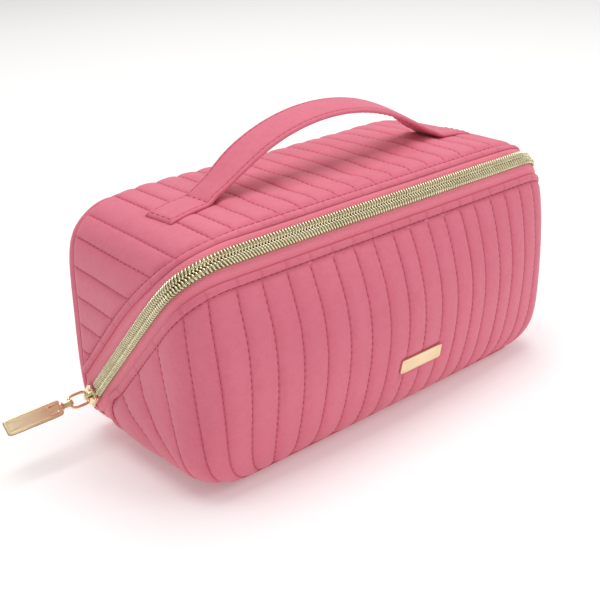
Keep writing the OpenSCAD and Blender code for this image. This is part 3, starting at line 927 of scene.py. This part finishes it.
tauBand = np.concatenate([trayLines["bandFoot"], np.linspace(29, frontEnd - 29, 700),
                          frontEnd - np.array(trayLines["bandFoot"][::-1])])
zBand = topOfWall(tauBand, trayLines["bandDrop"])
zBand[:6] = trayLines["bandFootHeights"]
zBand[-6:] = zBand[:6][::-1]
bandPath = easedLine(np.column_stack([tauBand, zBand]), 620, 34)
trayBandLine = wallAt(bandPath[:, 0], bandPath[:, 1])
trayLineEnds = [trayOuter[k * perChannel, -1] for k in range(1, channels)]
trayEdge = rolledBand("trayEdge", trayBandLine, trayLineEnds)
dressed(trayEdge, "leather", "tray", ["tray_edge"])

phi = np.linspace(math.radians(40), math.radians(320), 1400)
rise = np.full_like(phi, lidLines["bandRise"])
for _ in range(8):
    line = zipRay(phi, rise)
    rise = lidRise(line, lidLines["bandRise"])
line = line[line[:, 1] < bag["backSeam"] + 0.4]
lidBandLine = easedLine(line, 620, 6)
lidLineEnds = [lidOuter[k * perChannel, 0] for k in range(1, lidChannels)]
lidEdge = rolledBand("lidEdge", lidBandLine, lidLineEnds)
dressed(lidEdge, "leather", "lid", ["lid_edge"])

# topstitching just beyond each band
for line, sign, store in ((trayBandLine, -1, trayStitches), (lidBandLine, 1, lidStitches)):
    n = faceNormal(line)
    side = unit(np.cross(np.gradient(line, axis=0), n))
    away = np.where((side @ across) * sign > 0, 1.0, -1.0)
    if np.mean(away[200:400]) != 0:
        away[:] = np.sign(np.mean(away[200:400]))
    place = line + side * (away * (band["half"] + 0.12))[:, None] - n * 0.55
    store += stitchRun(place[8:-8], n[8:-8], radius=0.21, lift=0.04 if sign < 0 else -0.08)

# tapes, gussets and the fold strip
print("tapes")
tape = {"near": 0.55, "far": 13.4, "top": 1.2, "thickness": 0.6, "columns": 340, "rows": 16, "bulge": 0.6}


def zipTape(name, sign, body, node, lowSide):
    t = np.linspace(zipPlace(lowSide), zipPlace(lowSide, 1), tape["columns"])
    n = sign * np.linspace(tape["near"], tape["far"], tape["rows"])
    lift = (0.12 * np.sin(np.abs(n) / 3.1)[None, :] * np.sin(t / 13)[:, None]
            + tape["bulge"] * np.exp(-((np.abs(n) - 6.0) / 1.7) ** 2)[None, :])
    outer = zipPoint(t[:, None], n[None, :], tape["top"])
    up = normalsOf(outer)
    obj = shell(name, outer + up * lift[..., None], outer - up * tape["thickness"],
                along=t[:, None] + 0 * n[None, :], over=n[None, :] + 0 * t[:, None])
    dressed(obj, "tape", body, [node])


zipTape("tapeTray", -1, "tray", "zip_tape_tray", zipEnds["tapeTray"])
zipTape("tapeLid", 1, "lid", "zip_tape_lid", zipEnds["tapeLid"])

gusset = {"from": -0.8, "to": 20.6, "rimDrop": 9.6, "inset": 0.55, "sag": 0.25, "thickness": 0.75}
for side in (0, 1):
    tau = np.linspace(gusset["from"], gusset["to"], 44)
    zTop = np.maximum(topOfWall(tau, gusset["rimDrop"]), 19.9 + 0.98 * (43 - tau - 43.95))
    z = bag["baseSeam"] + np.linspace(0, 1, 30)[None, :] * (zTop[:, None] - bag["baseSeam"])
    columns = (tau if side == 0 else frontEnd - tau)[:, None] + 0 * z
    sag = gusset["sag"] * np.sin(z / 5.0 + tau[:, None] / 4.0)
    outer = wallAt(columns, z, gusset["inset"])
    up = normalsOf(outer)
    obj = shell("endGusset" + ("Left", "Right")[side], outer + up * sag[..., None] * 0.6,
                outer - up * gusset["thickness"], along=columns, over=z)
    dressed(obj, "tape", "tray")

tau = np.linspace(frontEnd + 0.2, loopLength - 0.2, 300)
fold = {"low": 3.9, "high": 10.4, "inset": 0.45, "thickness": 1.1, "rib": 0.35, "groove": 0.25,
        "grooveAt": 5.4}
z = np.linspace(fold["low"], fold["high"], 16)
outer = wallAt(tau[:, None], z[None, :], fold["inset"])
up = normalsOf(outer)
rib = (fold["rib"] * np.exp(-((z - foldLine[2]) / 1.2) ** 2)[None, :]
       - fold["groove"] * np.exp(-((z - fold["grooveAt"]) / 0.7) ** 2)[None, :])
foldStrip = shell("foldStrip", outer + up * rib[..., None], outer - up * fold["thickness"],
                  along=tau[:, None] + 0 * z, over=z + 0 * tau[:, None])
dressed(foldStrip, "tape", None, ["fold_piping"])
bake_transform(foldStrip)

piping = {"inset": 0.95, "radius": 0.85}
baseLine = wallAt(np.linspace(0, loopLength, 600), np.full(600, bag["baseSeam"]))
baseNormal = faceNormal(baseLine)
pipingRings = []
ring = np.linspace(0, 2 * math.pi, 9)[:-1]
up = np.array([0, 0, 1.0])
for p, n in zip(baseLine[:-1], baseNormal[:-1]):
    n = n * [1, 1, 0] / np.linalg.norm(n[:2])
    hoop = np.cos(ring)[:, None] * n + np.sin(ring)[:, None] * up
    pipingRings.append(p - n * piping["inset"] + piping["radius"] * hoop)
pipingVerts, pipingFaces = tube(np.array(pipingRings), closed=True)
# painted shade spread evenly over the whole piping, with a faint painted highlight
basePiping = grown("basePiping", pipingVerts, pipingFaces, dip=np.full(len(pipingVerts), 0.25),
                   crest=np.full(len(pipingVerts), 0.1))
dressed(basePiping, "leather", "tray")

# linings and bindings
print("lining")
lining = {"face": 4.15, "thickness": 0.75, "floor": 5.4, "shrink": (0.97, 0.9, 0.75, 0.55, 0.3, 0.1)}


def liningSkin(floor, inset):
    rows = [wallAt(tau, zRim + (floor - zRim) * k, inset) for k in np.linspace(0, 1, 26)]
    return np.stack(drawnIn(rows, lining["shrink"]), 1)


tau = np.linspace(0, loopLength, 300, endpoint=False)
zRim = np.maximum(topOfWall(tau, 9.0), 7.9)
liningBack = lining["face"] + lining["thickness"]
trayLining = shell("trayLining", liningSkin(lining["floor"] + 0.8, liningBack),
                   liningSkin(lining["floor"], lining["face"]), loop=True)
dressed(trayLining, "lining", "tray", ["tray_lining", "base_padding", "base_board"])

q = np.linspace(0, lidChannels, 150)
f = np.linspace(0, 1, 30)
lidLining = shell("lidLining", lidGrid(q, f, lining["face"], 9.0),
                  lidGrid(q, f, liningBack, 9.0))
dressed(lidLining, "lining", "lid", ["lid_lining"])
q = np.linspace(0, backChannels, 130)
tau = np.interp(q, np.arange(backChannels + 1), tauLines)
f = np.linspace(0, 1, 40)
backLining = shell("backLining", backGrid(lining["face"], 0.2), backGrid(liningBack, 0.2))
dressed(backLining, "lining", "lid")

binding = {"half": 3.0, "face": 1.85, "thickness": 3.2, "tray": -12.2, "lid": 12.4}
bindTop = [(binding["half"] * v, 0.35 * (1 - abs(v) ** 3)) for v in u]
bindFoot = [(binding["half"] * v, -binding["thickness"] - 0.35 * (1 - abs(v) ** 3)) for v in u]


def bindingAlong(name, n, body, node, low):
    t = np.linspace(zipPlace(low), zipPlace(low, 1), 500)
    line = zipPoint(t, 0 * t + n, binding["face"])
    up = faceNormal(line)
    obj = shell(name, ribbon(line, up, bindTop), ribbon(line, up, bindFoot))
    dressed(obj, "binding", body, [node])


bindingAlong("bindingTray", binding["tray"], "tray", "tray_seam_binding", zipEnds["bindingTray"])
bindingAlong("bindingLid", binding["lid"], "lid", "lid_seam_binding", zipEnds["bindingLid"])

# zip coils, stops
print("coils")
# core is how far down the dark strip of painted shade under the coil lies
coil = {"row": 2.0, "reach": 1.4, "rise": 0.80, "wide": 0.50, "tall": 0.44, "pitch": 1.72, "inset": 0.55,
        "steps": 14, "core": 1.0, "dome": 0.18, "headLong": 0.46, "headWide": 0.56, "headTall": 0.46}


def coilRow(name, sign, body, node, tFrom, tTo, phase):
    turns = (tTo - tFrom) / coil["pitch"]
    a = np.arange(int(turns * coil["steps"])) * 2 * math.pi / coil["steps"]
    t = tFrom + a / (2 * math.pi) * coil["pitch"] + phase * coil["pitch"]
    n = sign * (coil["row"] - coil["reach"] * np.cos(a))
    line = zipPoint(t, n, coil["inset"])
    up = faceNormal(line)
    line = line + up * (coil["rise"] * np.sin(a) + coil["dome"] * (1 - (np.abs(n) / 4.2) ** 2))[:, None]
    along = unit(np.gradient(line, axis=0))
    side = unit(np.cross(along, up))
    top = np.cross(side, along)
    ring = np.arange(6) * math.pi / 3
    rings = (line[:, None] + coil["wide"] * np.cos(ring)[None, :, None] * side[:, None]
             + coil["tall"] * np.sin(ring)[None, :, None] * top[:, None])
    parts = [tube(rings)]
    # heads that lock with the other row along the middle
    tHead = np.arange(tFrom + coil["pitch"] * (phase + 0.75), tTo, coil["pitch"])
    spot = zipPoint(tHead, 0 * tHead + sign * 0.12, coil["inset"])
    headUp, headAlong = faceNormal(spot), zipPoint(tHead + 0.5, 0 * tHead) - zipPoint(tHead - 0.5, 0 * tHead)
    for place, n0, a0 in zip(spot, headUp, headAlong):
        turned = np.array([math.cos(v) for v in ring]), np.array([math.sin(v) for v in ring])
        a0 = a0 / np.linalg.norm(a0)
        s0 = np.cross(a0, n0)
        bead = [place + n0 * (coil["dome"] + coil["rise"] * 0.5) + a0 * (coil["headLong"] * math.sin(v))
                + math.cos(v) * (coil["headWide"] * turned[0][:, None] * s0
                                 + coil["headTall"] * turned[1][:, None] * n0)
                for v in (-1.3, -0.75, 0.0, 0.75, 1.3)]
        parts.append(tube(np.array(bead)))
    obj = gathered(name, parts)
    dressed(obj, "coil", body, [node])


coilDown = zipEnds["low"] - zipEnds["coilBack"]
lowEnd, farEnd = zipPlace(coilDown), zipPlace(coilDown, 1)
sliderTop = zipPlace(zipEnds["coilLid"])
coilRow("coilTray", -1, "tray", "zip_coil_tray", lowEnd, farEnd, 0.0)
coilRow("coilLid", 1, "lid", "zip_coil_lid", sliderTop, farEnd, 0.5)
# painted shade: a dark strip under each coil stands in for the shade between its wires
for name, sign, body, start in (("coilShadeTray", -1, "tray", lowEnd), ("coilShadeLid", 1, "lid", sliderTop)):
    t = np.linspace(start, farEnd, 500)
    n = sign * np.linspace(0.35, 3.75, 7)
    outer = zipPoint(t[:, None], n[None, :], coil["core"])
    up = normalsOf(outer)
    obj = shell(name, outer + up * 0.12 * np.sin(np.linspace(0, math.pi, 7))[None, :, None], outer - up * 0.3)
    dressed(obj, "shadeMetal", body)


def outlineOf(a, b, power=4.0, count=40, waist=0.0):
    # rounded rectangle, half sizes a and b; waist narrows its far end
    w = np.linspace(0, 2 * math.pi, count, endpoint=False)
    x = a * np.sign(np.cos(w)) * np.abs(np.cos(w)) ** (2 / power)
    y = b * np.sign(np.sin(w)) * np.abs(np.sin(w)) ** (2 / power)
    return np.stack([x, y * (1 - waist * (x / a + 1) / 2)], -1)


def slab(outline, thickness, bevel, extra=()):
    # rounded-edge plate from an outline; extra adds rings of (height, inset) on its upper face
    half = thickness / 2
    levels = [(-half, bevel + 0.25), (-half, bevel), (-half + bevel * 0.3, bevel * 0.3), (-half + bevel, 0),
              (half - bevel, 0), (half - bevel * 0.3, bevel * 0.3), (half, bevel), (half, bevel + 0.25)]
    levels += [(half + h, i) for h, i in extra]
    along = np.roll(outline, -1, 0) - np.roll(outline, 1, 0)
    n = unit(np.stack([along[:, 1], -along[:, 0]], -1))
    rings = np.array([np.column_stack([outline - n * i, np.full(len(outline), h)]) for h, i in levels])
    return tube(rings)


def setAt(part, origin, axes):
    # local (a, b, c) coordinates onto three directions
    verts, faces = part
    return origin + np.asarray(verts) @ np.asarray(axes), faces


def sharp(obj, degrees=32):
    obj.data.set_sharp_from_angle(angle=math.radians(degrees))
    return obj


for side in (-1, 1):
    t = zipPlace(zipEnds["low"] - zipEnds["stopLength"] / 2, side)
    place = zipPoint(np.array([t]), np.array([-2.1]), 0.35)[0]
    n = faceNormal(place[None])[0]
    up = across - n * (across @ n)
    up /= np.linalg.norm(up)
    block = setAt(slab(outlineOf(1.2, 1.75, 5), 1.9, 0.35), place, [np.cross(up, n), up, n])
    obj = gathered("zipStop" + ("Left" if side < 0 else "Right"), [block])
    dressed(sharp(obj), "gold", "tray", ["zip_stops"] if side < 0 else ())

# slider, its bail, link, bracket and bar
print("slider and pull")
slide = {"out": 0.9, "inside": 3.8, "plate": 1.2, "half": 4.6, "length": 10.0, "lip": 0.7, "pivotOut": 3.3,
         "bailInner": 2.4, "bailWall": 1.1, "bailWidth": 2.0, "wire": 0.75, "linkLength": 9.5,
         "linkWidth": 6.5,
         "bracketLength": 5.0, "bracketWidth": 2.6, "barLength": 29.0, "barWidth": 8.0, "barThickness": 2.2}
runAxis = np.array(joints["slider_run"]["axis"], float)
sy, sz = -runAxis / np.linalg.norm(runAxis), across
sx = np.cross(sy, sz)
sx /= np.linalg.norm(sx)
sliderPlace = linkPivot + slide["pivotOut"] * sx
local = lambda x, y, z: sliderPlace + x * sx + y * sy + z * sz
plateShape = outlineOf(slide["length"] / 2, slide["half"], 5, 48, 0.14)
topPlate = setAt(slab(plateShape, slide["plate"], 0.35, [(-0.12, 1.2), (-0.12, 2.2)]),
                 local(-slide["out"] - slide["plate"] / 2, 0, 0), [sy, sz, -sx])
lowPlate = setAt(slab(plateShape, slide["plate"], 0.3),
                 local(slide["inside"] + slide["plate"] / 2, 0, 0), [sy, sz, sx])
wedge = setAt(slab(outlineOf(0.8, 0.3, 3, 20), slide["out"] + slide["inside"] + 1.0, 0.05),
              local((slide["inside"] - slide["out"]) / 2, slide["length"] / 2 - 0.9, 0), [sy, sz, sx])
sideLip = setAt(slab(outlineOf(slide["length"] / 2 - 0.5, slide["lip"] / 2, 6, 32), 2.3, 0.15),
                local(0.15, 0.1, -slide["half"] + slide["lip"] / 2 + 0.15), [sy, sz, sx])
dressed(sharp(gathered("sliderBody", [topPlate, lowPlate, wedge, sideLip])), "gold", "slider",
        ["slider_body"])

w = np.linspace(0, math.pi, 26)
middle = slide["bailInner"] + slide["bailWall"] / 2
section = outlineOf(slide["bailWall"] / 2, slide["bailWidth"] / 2, 3.2, 14)
rings = []
for a in w:
    outDir = -math.sin(a) * sx + math.cos(a) * sy
    core = local(-slide["out"] - slide["plate"] + 0.35, 0, 0) + middle * outDir
    rings.append(core + section[:, :1] * outDir + section[:, 1:] * sz)
dressed(gathered("sliderBail", [tube(np.array(rings))]), "gold", "slider", ["slider_bail"])

linkMiddle = local(-slide["pivotOut"] - slide["linkLength"] / 2, 0, 0)
path = outlineOf(slide["linkLength"] / 2, slide["linkWidth"] / 2, 4.2, 72)
path = np.column_stack([path, np.zeros(len(path))])
closed = resample(np.vstack([path, path[:1]]), 81)[:-1]
along = unit(np.roll(closed, -1, 0) - np.roll(closed, 1, 0))
side = np.cross(along, [0, 0, 1.0])
ring = np.linspace(0, 2 * math.pi, 13)[:-1]
rings = closed[:, None] + slide["wire"] * (np.cos(ring)[None, :, None] * side[:, None]
                                           + np.sin(ring)[None, :, None] * np.array([0, 0, 1.0]))
dressed(gathered("pullLink", [setAt(tube(rings, closed=True), linkMiddle, [-sx, sz, sy])]),
        "gold", "link", ["pull_link"])

barOrigin = local(-slide["pivotOut"] - slide["linkLength"], 0, 0)
a = np.linspace(math.radians(128), math.radians(-128), 22)
loop = np.array([(-slide["bracketLength"] - 1.5, 0.62), (-3.2, 0.62), (-1.9, 0.8)]
                + [(1.38 * math.cos(v), 1.38 * math.sin(v)) for v in a]
                + [(-1.9, -0.8), (-3.2, -0.62), (-slide["bracketLength"] - 1.5, -0.62)])
loop = resample(np.column_stack([loop, 0 * loop[:, 0]]), 50)
along = unit(np.gradient(loop, axis=0))
side = np.cross([0, 0, 1.0], along)
section = outlineOf(0.36, slide["bracketWidth"] / 2, 4, 20)
rings = loop[:, None] + section[None, :, :1] * side[:, None] + section[None, :, 1:] * np.array([0, 0, 1.0])
collarShape = outlineOf(slide["barThickness"] / 2 + 0.35, slide["bracketWidth"] / 2 + 0.75, 4, 28)
collar = setAt(slab(collarShape, 1.6, 0.3), barOrigin - sx * (slide["bracketLength"] - 0.3), [sy, sz, sx])
dressed(sharp(gathered("pullBracket", [setAt(tube(rings), barOrigin, [sx, sy, sz]), collar]), 40),
        "gold", "pull", ["pull_bracket"])

barShape = outlineOf(slide["barLength"] / 2, slide["barWidth"] / 2, 9, 72)
barMiddle = barOrigin - sx * (slide["bracketLength"] + slide["barLength"] / 2)
parts = []
for face in (1, -1):
    recess = [(0, 0.95), (-0.22, 1.15), (-0.22, 1.6)]
    parts.append(setAt(slab(barShape, slide["barThickness"] / 2 + 0.2, 0.3, recess),
                       barMiddle + face * sy * (slide["barThickness"] / 4 - 0.1), [sx * face, sz, sy * face]))
    w = outlineOf(2.5, 2.5, 8, 36)
    frameRings = [np.column_stack([w * k, np.full(len(w), h)]) for k, h in
                  ((1.0, 0.0), (1.0, 0.42), (0.95, 0.52), (0.80, 0.52), (0.74, 0.42), (0.74, 0.0))]
    frameAt = barOrigin - sx * (slide["bracketLength"] + 4.3) + face * sy * (slide["barThickness"] / 2 - 0.32)
    parts.append(setAt(tube(np.array(frameRings).transpose(1, 0, 2), closed=True), frameAt,
                       [sx * face, sz, sy * face]))
dressed(sharp(gathered("pullBar", parts), 30), "brushed", "pull", ["pull_bar"])
# painted shade: a dark band round the middle of the bar's edge stands in for the shade in the groove where
# its two halves meet
edgeShadeSlab = setAt(slab(barShape * [1.012, 1.04], 1.1, 0.15), barMiddle, [sx, sz, sy])
barEdgeShade = gathered("pullBarEdgeShade", [edgeShadeSlab])
dressed(sharp(barEdgeShade), "shadeMetal", "pull")

# nameplate: a plain bevelled plate with a raised rim
plate = {"length": 29.0, "height": 8.0, "thickness": 1.4}
faceAt = lambda z: castOut(np.array([plateMiddle[0], 0.0, z]), np.array([0, -1.0, 0]))
plateTop, plateFoot = faceAt(plateMiddle[2] + 4), faceAt(plateMiddle[2] - 4)
px = np.array([1.0, 0, 0])
pz = (plateTop - plateFoot) / np.linalg.norm(plateTop - plateFoot)
pn = np.cross(px, pz)
pn = pn if pn[1] < 0 else -pn
plateAt = (plateTop + plateFoot) / 2 + pn * 0.55
plateRim = [(0.0, 0.6), (-0.2, 0.8), (-0.2, 1.2)]
namePlate = gathered("namePlate", [setAt(slab(outlineOf(plate["length"] / 2, plate["height"] / 2, 12, 96),
                                              plate["thickness"], 0.32, plateRim), plateAt, [px, pz, pn])])
dressed(sharp(namePlate, 30), "brushed", "tray", ["nameplate", "nameplate_backing"])

# handle: strap and sewn tabs in one piece
print("handle")
arch = np.array([(0, 153.2), (10, 152.8), (20, 151.5), (30, 149.3), (40, 146.1), (50, 141.7), (58, 137.2),
                 (65, 132.6), (71, 129.0), (76, 127.0), (81, 126.2)])
strapTurn = {"roll": 0.20, "stitchAt": 0.82, "crown": 0.25, "crossSeams": (78.6, 98.9), "end": 101.0,
             "freeFrom": 50, "freeBlend": 26,
             "tabFrom": 73, "tabBlend": 8, "needlePitch": 3.5}
x = np.concatenate([np.linspace(-101, -70, 34), np.linspace(-69, 69, 150), np.linspace(70, 101, 34)])
yMiddle = strap["offset"]


def topFace(x, y):
    ray = np.stack([x, y, 0 * x + 60.0], -1)
    return castOut(ray, np.array([0, 0, 1.0]))[..., 2]


onTab = smoothStep((np.abs(x) - strapTurn["tabFrom"]) / strapTurn["tabBlend"])
surface = topFace(x, 0 * x + yMiddle) + 0.65
lifted = np.interp(np.abs(x), arch[:, 0], arch[:, 1])
zLine = eased(eased(lifted, 10) * (1 - onTab) + surface * onTab, 3)
centre = resample(np.column_stack([x, 0 * x + yMiddle, zLine]), 230)
x, zLine = centre[:, 0], centre[:, 2]
onTab = smoothStep((np.abs(x) - strapTurn["tabFrom"]) / strapTurn["tabBlend"])
free = 1 - smoothStep((np.abs(x) - strapTurn["freeFrom"]) / strapTurn["freeBlend"])
along = unit(np.gradient(centre, axis=0))
up = np.cross(along, [0, 1.0, 0])
up *= np.sign(up[:, 2:])
half = strap["width"] / 2 * (1 - 0.08 * (1 - onTab) - 0.02 * np.exp(-((np.abs(x) - 70) / 8) ** 2))
u = np.array([0.25, 0.5, 0.72, 0.78, 0.82, 0.86, 0.90, 0.95, 0.985, 1])
u = np.concatenate([-u[::-1], [0], u])
thick = (strap["thickness"] * (1 - onTab) + strap["tabThickness"] * onTab) / 2
edgeProfile = (1 - np.abs(u) ** 14) ** 0.5
seam = np.exp(-((np.abs(u) - strapTurn["stitchAt"]) / 0.035) ** 2)
s = alongLine(centre)
dimple = 0.5 + 0.5 * np.cos(2 * np.pi * s / strapTurn["needlePitch"])
y = yMiddle + half[:, None] * u[None, :]
drop = topFace(x[:, None] + 0 * y, y) - topFace(x, 0 * x + yMiddle)[:, None]
core = np.stack([centre[:, 0][:, None] + 0 * y, y,
                 zLine[:, None] + drop * onTab[:, None]
                 + strapTurn["roll"] * free[:, None] * (y - yMiddle)], -1)
body = thick[:, None] * edgeProfile[None, :]
crown = strapTurn["crown"] * (1 - (u / 0.8) ** 2).clip(0)[None, :] * (0.5 + 0.5 * (1 - onTab))[:, None]
crossSeams = sum(np.exp(-((np.abs(x) - v) / 0.55) ** 2) for v in strapTurn["crossSeams"])
groove = ((0.34 + 0.16 * dimple)[:, None] * seam[None, :]
          + 0.34 * crossSeams[:, None] * (np.abs(u) < 0.83)[None, :])
strapOuter = core + up[:, None] * (body + crown - groove)[..., None]
strapInner = core - up[:, None] * (body + 0.2 * crown - 0.5 * groove * (1 - onTab)[:, None])[..., None]
endRound = np.clip((strapTurn["end"] - np.abs(x)) / 1.1, 0, 1) ** 0.5
strapOuter = core + (strapOuter - core) * endRound[:, None, None]
# painted shade in the strap's stitch grooves and cross seams
dip = np.clip(groove * 1.7, 0, 1) + 0 * body
# painted highlight along the strap's rolled edges
handleStrap = shell("handleStrap", strapOuter, strapInner, dip=dip,
                    crest=0.25 * (np.abs(u) > 0.92)[None, :] + 0 * dip)
dressed(handleStrap, "leather", None,
        ["handle_strap", "handle_core", "handle_tab_left", "handle_tab_right"])
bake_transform(handleStrap)
strapUp = normalsOf(strapOuter)
strapStitches = []
for j in (5, 15):
    strapStitches += stitchRun(strapOuter[4:-4, j], strapUp[4:-4, j], lift=0.18)
    under = strapInner[4:-4, j]
    keep = np.abs(under[:, 0]) < 70
    strapStitches += stitchRun(under[keep], -strapUp[4:-4, j][keep], lift=0.18)
for v in strapTurn["crossSeams"]:
    for sign in (-1, 1):
        i = np.argmin(np.abs(x - sign * v))
        strapStitches += stitchRun(strapOuter[i, 5:16], strapUp[i, 5:16], lift=0.18)
strapThread = gathered("strapThread", strapStitches)
dressed(strapThread, "thread", None)
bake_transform(strapThread)

for name, parts, body in (("trayThread", trayStitches, "tray"), ("lidThread", lidStitches, "lid")):
    dressed(gathered(name, parts), "thread", body)

# floor, light and camera
print("studio")
studio = {"floor": rgb(0.93, 0.925, 0.92), "sky": 0.42, "key": 5.2, "fill": 0.3, "rim": 2.6, "top": 15.5,
          "glow": 0.17, "aim": (0, 0, 0.06)}
floorMesh = bpy.data.meshes.new("studioFloor")
floorMesh.from_pydata([(-6, -6, 0), (6, -6, 0), (6, 6, 0), (-6, 6, 0)], [], [(0, 1, 2, 3)])
studioFloor = bpy.data.objects.new("studioFloor", floorMesh)
bpy.context.scene.collection.objects.link(studioFloor)
studioFloor.location.z = -0.0002
floorFinish = Finish("studioPaper", Specular_IOR_Level=0.2, Emission_Strength=studio["glow"],
                     Emission_Color=rgb(1.0, 1.0, 1.0))
soft = floorFinish.noise(3.0, 2.0)
floorFinish.feed("Base Color", floorFinish.mix(soft * 0.1, studio["floor"], rgb(0.9, 0.9, 0.9)))
floorFinish.feed("Roughness", 0.85 + soft * 0.05)
floorMesh.materials.append(floorFinish.material)

world = bpy.data.worlds.new("studioSky")
world.use_nodes = True
world.node_tree.nodes["Background"].inputs["Color"].default_value = rgb(1.0, 0.99, 0.98)
world.node_tree.nodes["Background"].inputs["Strength"].default_value = studio["sky"]
bpy.context.scene.world = world
bpy.context.scene.view_settings.view_transform = "Standard"


def softBox(name, power, size, place):
    light = bpy.data.lights.new(name, "AREA")
    light.shape, light.size, light.size_y = "RECTANGLE", size[0], size[1]
    light.energy = power
    obj = bpy.data.objects.new(name, light)
    bpy.context.scene.collection.objects.link(obj)
    obj.location = place
    obj.rotation_euler = (Vector(studio["aim"]) - Vector(place)).to_track_quat("-Z", "Y").to_euler()


softBox("keyLight", studio["key"], (0.9, 0.8), (0.75, -1.15, 1.10))
softBox("fillLight", studio["fill"], (1.2, 1.2), (-1.5, -0.1, 0.7))
softBox("rimLight", studio["rim"], (1.2, 0.8), (0.7, 1.2, 1.1))
softBox("topLight", studio["top"], (1.6, 1.0), (0.0, 0.1, 1.6))

camera = {"place": (-0.358826, -0.398807, 0.278650), "yaw": 41.979, "pitch": 22.174, "roll": -2.117,
          "lens": 66.09, "shift": (-0.0379, -0.0300)}
yaw, pitch, roll = (math.radians(camera[k]) for k in ("yaw", "pitch", "roll"))
back = Vector((-math.sin(yaw) * math.cos(pitch), -math.cos(yaw) * math.cos(pitch), math.sin(pitch)))
right = (-back).cross(Vector((0, 0, 1))).normalized()
upward = right.cross(-back)
rightTurned = math.cos(roll) * right + math.sin(roll) * upward
upTurned = -math.sin(roll) * right + math.cos(roll) * upward
cameraData = bpy.data.cameras.new("studioCamera")
cameraData.lens, cameraData.sensor_width = camera["lens"], 36.0
cameraData.shift_x, cameraData.shift_y = camera["shift"]
cameraObject = bpy.data.objects.new("studioCamera", cameraData)
bpy.context.scene.collection.objects.link(cameraObject)
turn = Matrix((rightTurned, upTurned, back)).transposed().to_4x4()
cameraObject.matrix_world = Matrix.Translation(camera["place"]) @ turn
bpy.context.scene.camera = cameraObject

count = sum(len(o.data.polygons) for o in bpy.data.objects if o.type == "MESH")
print("faces:", count)
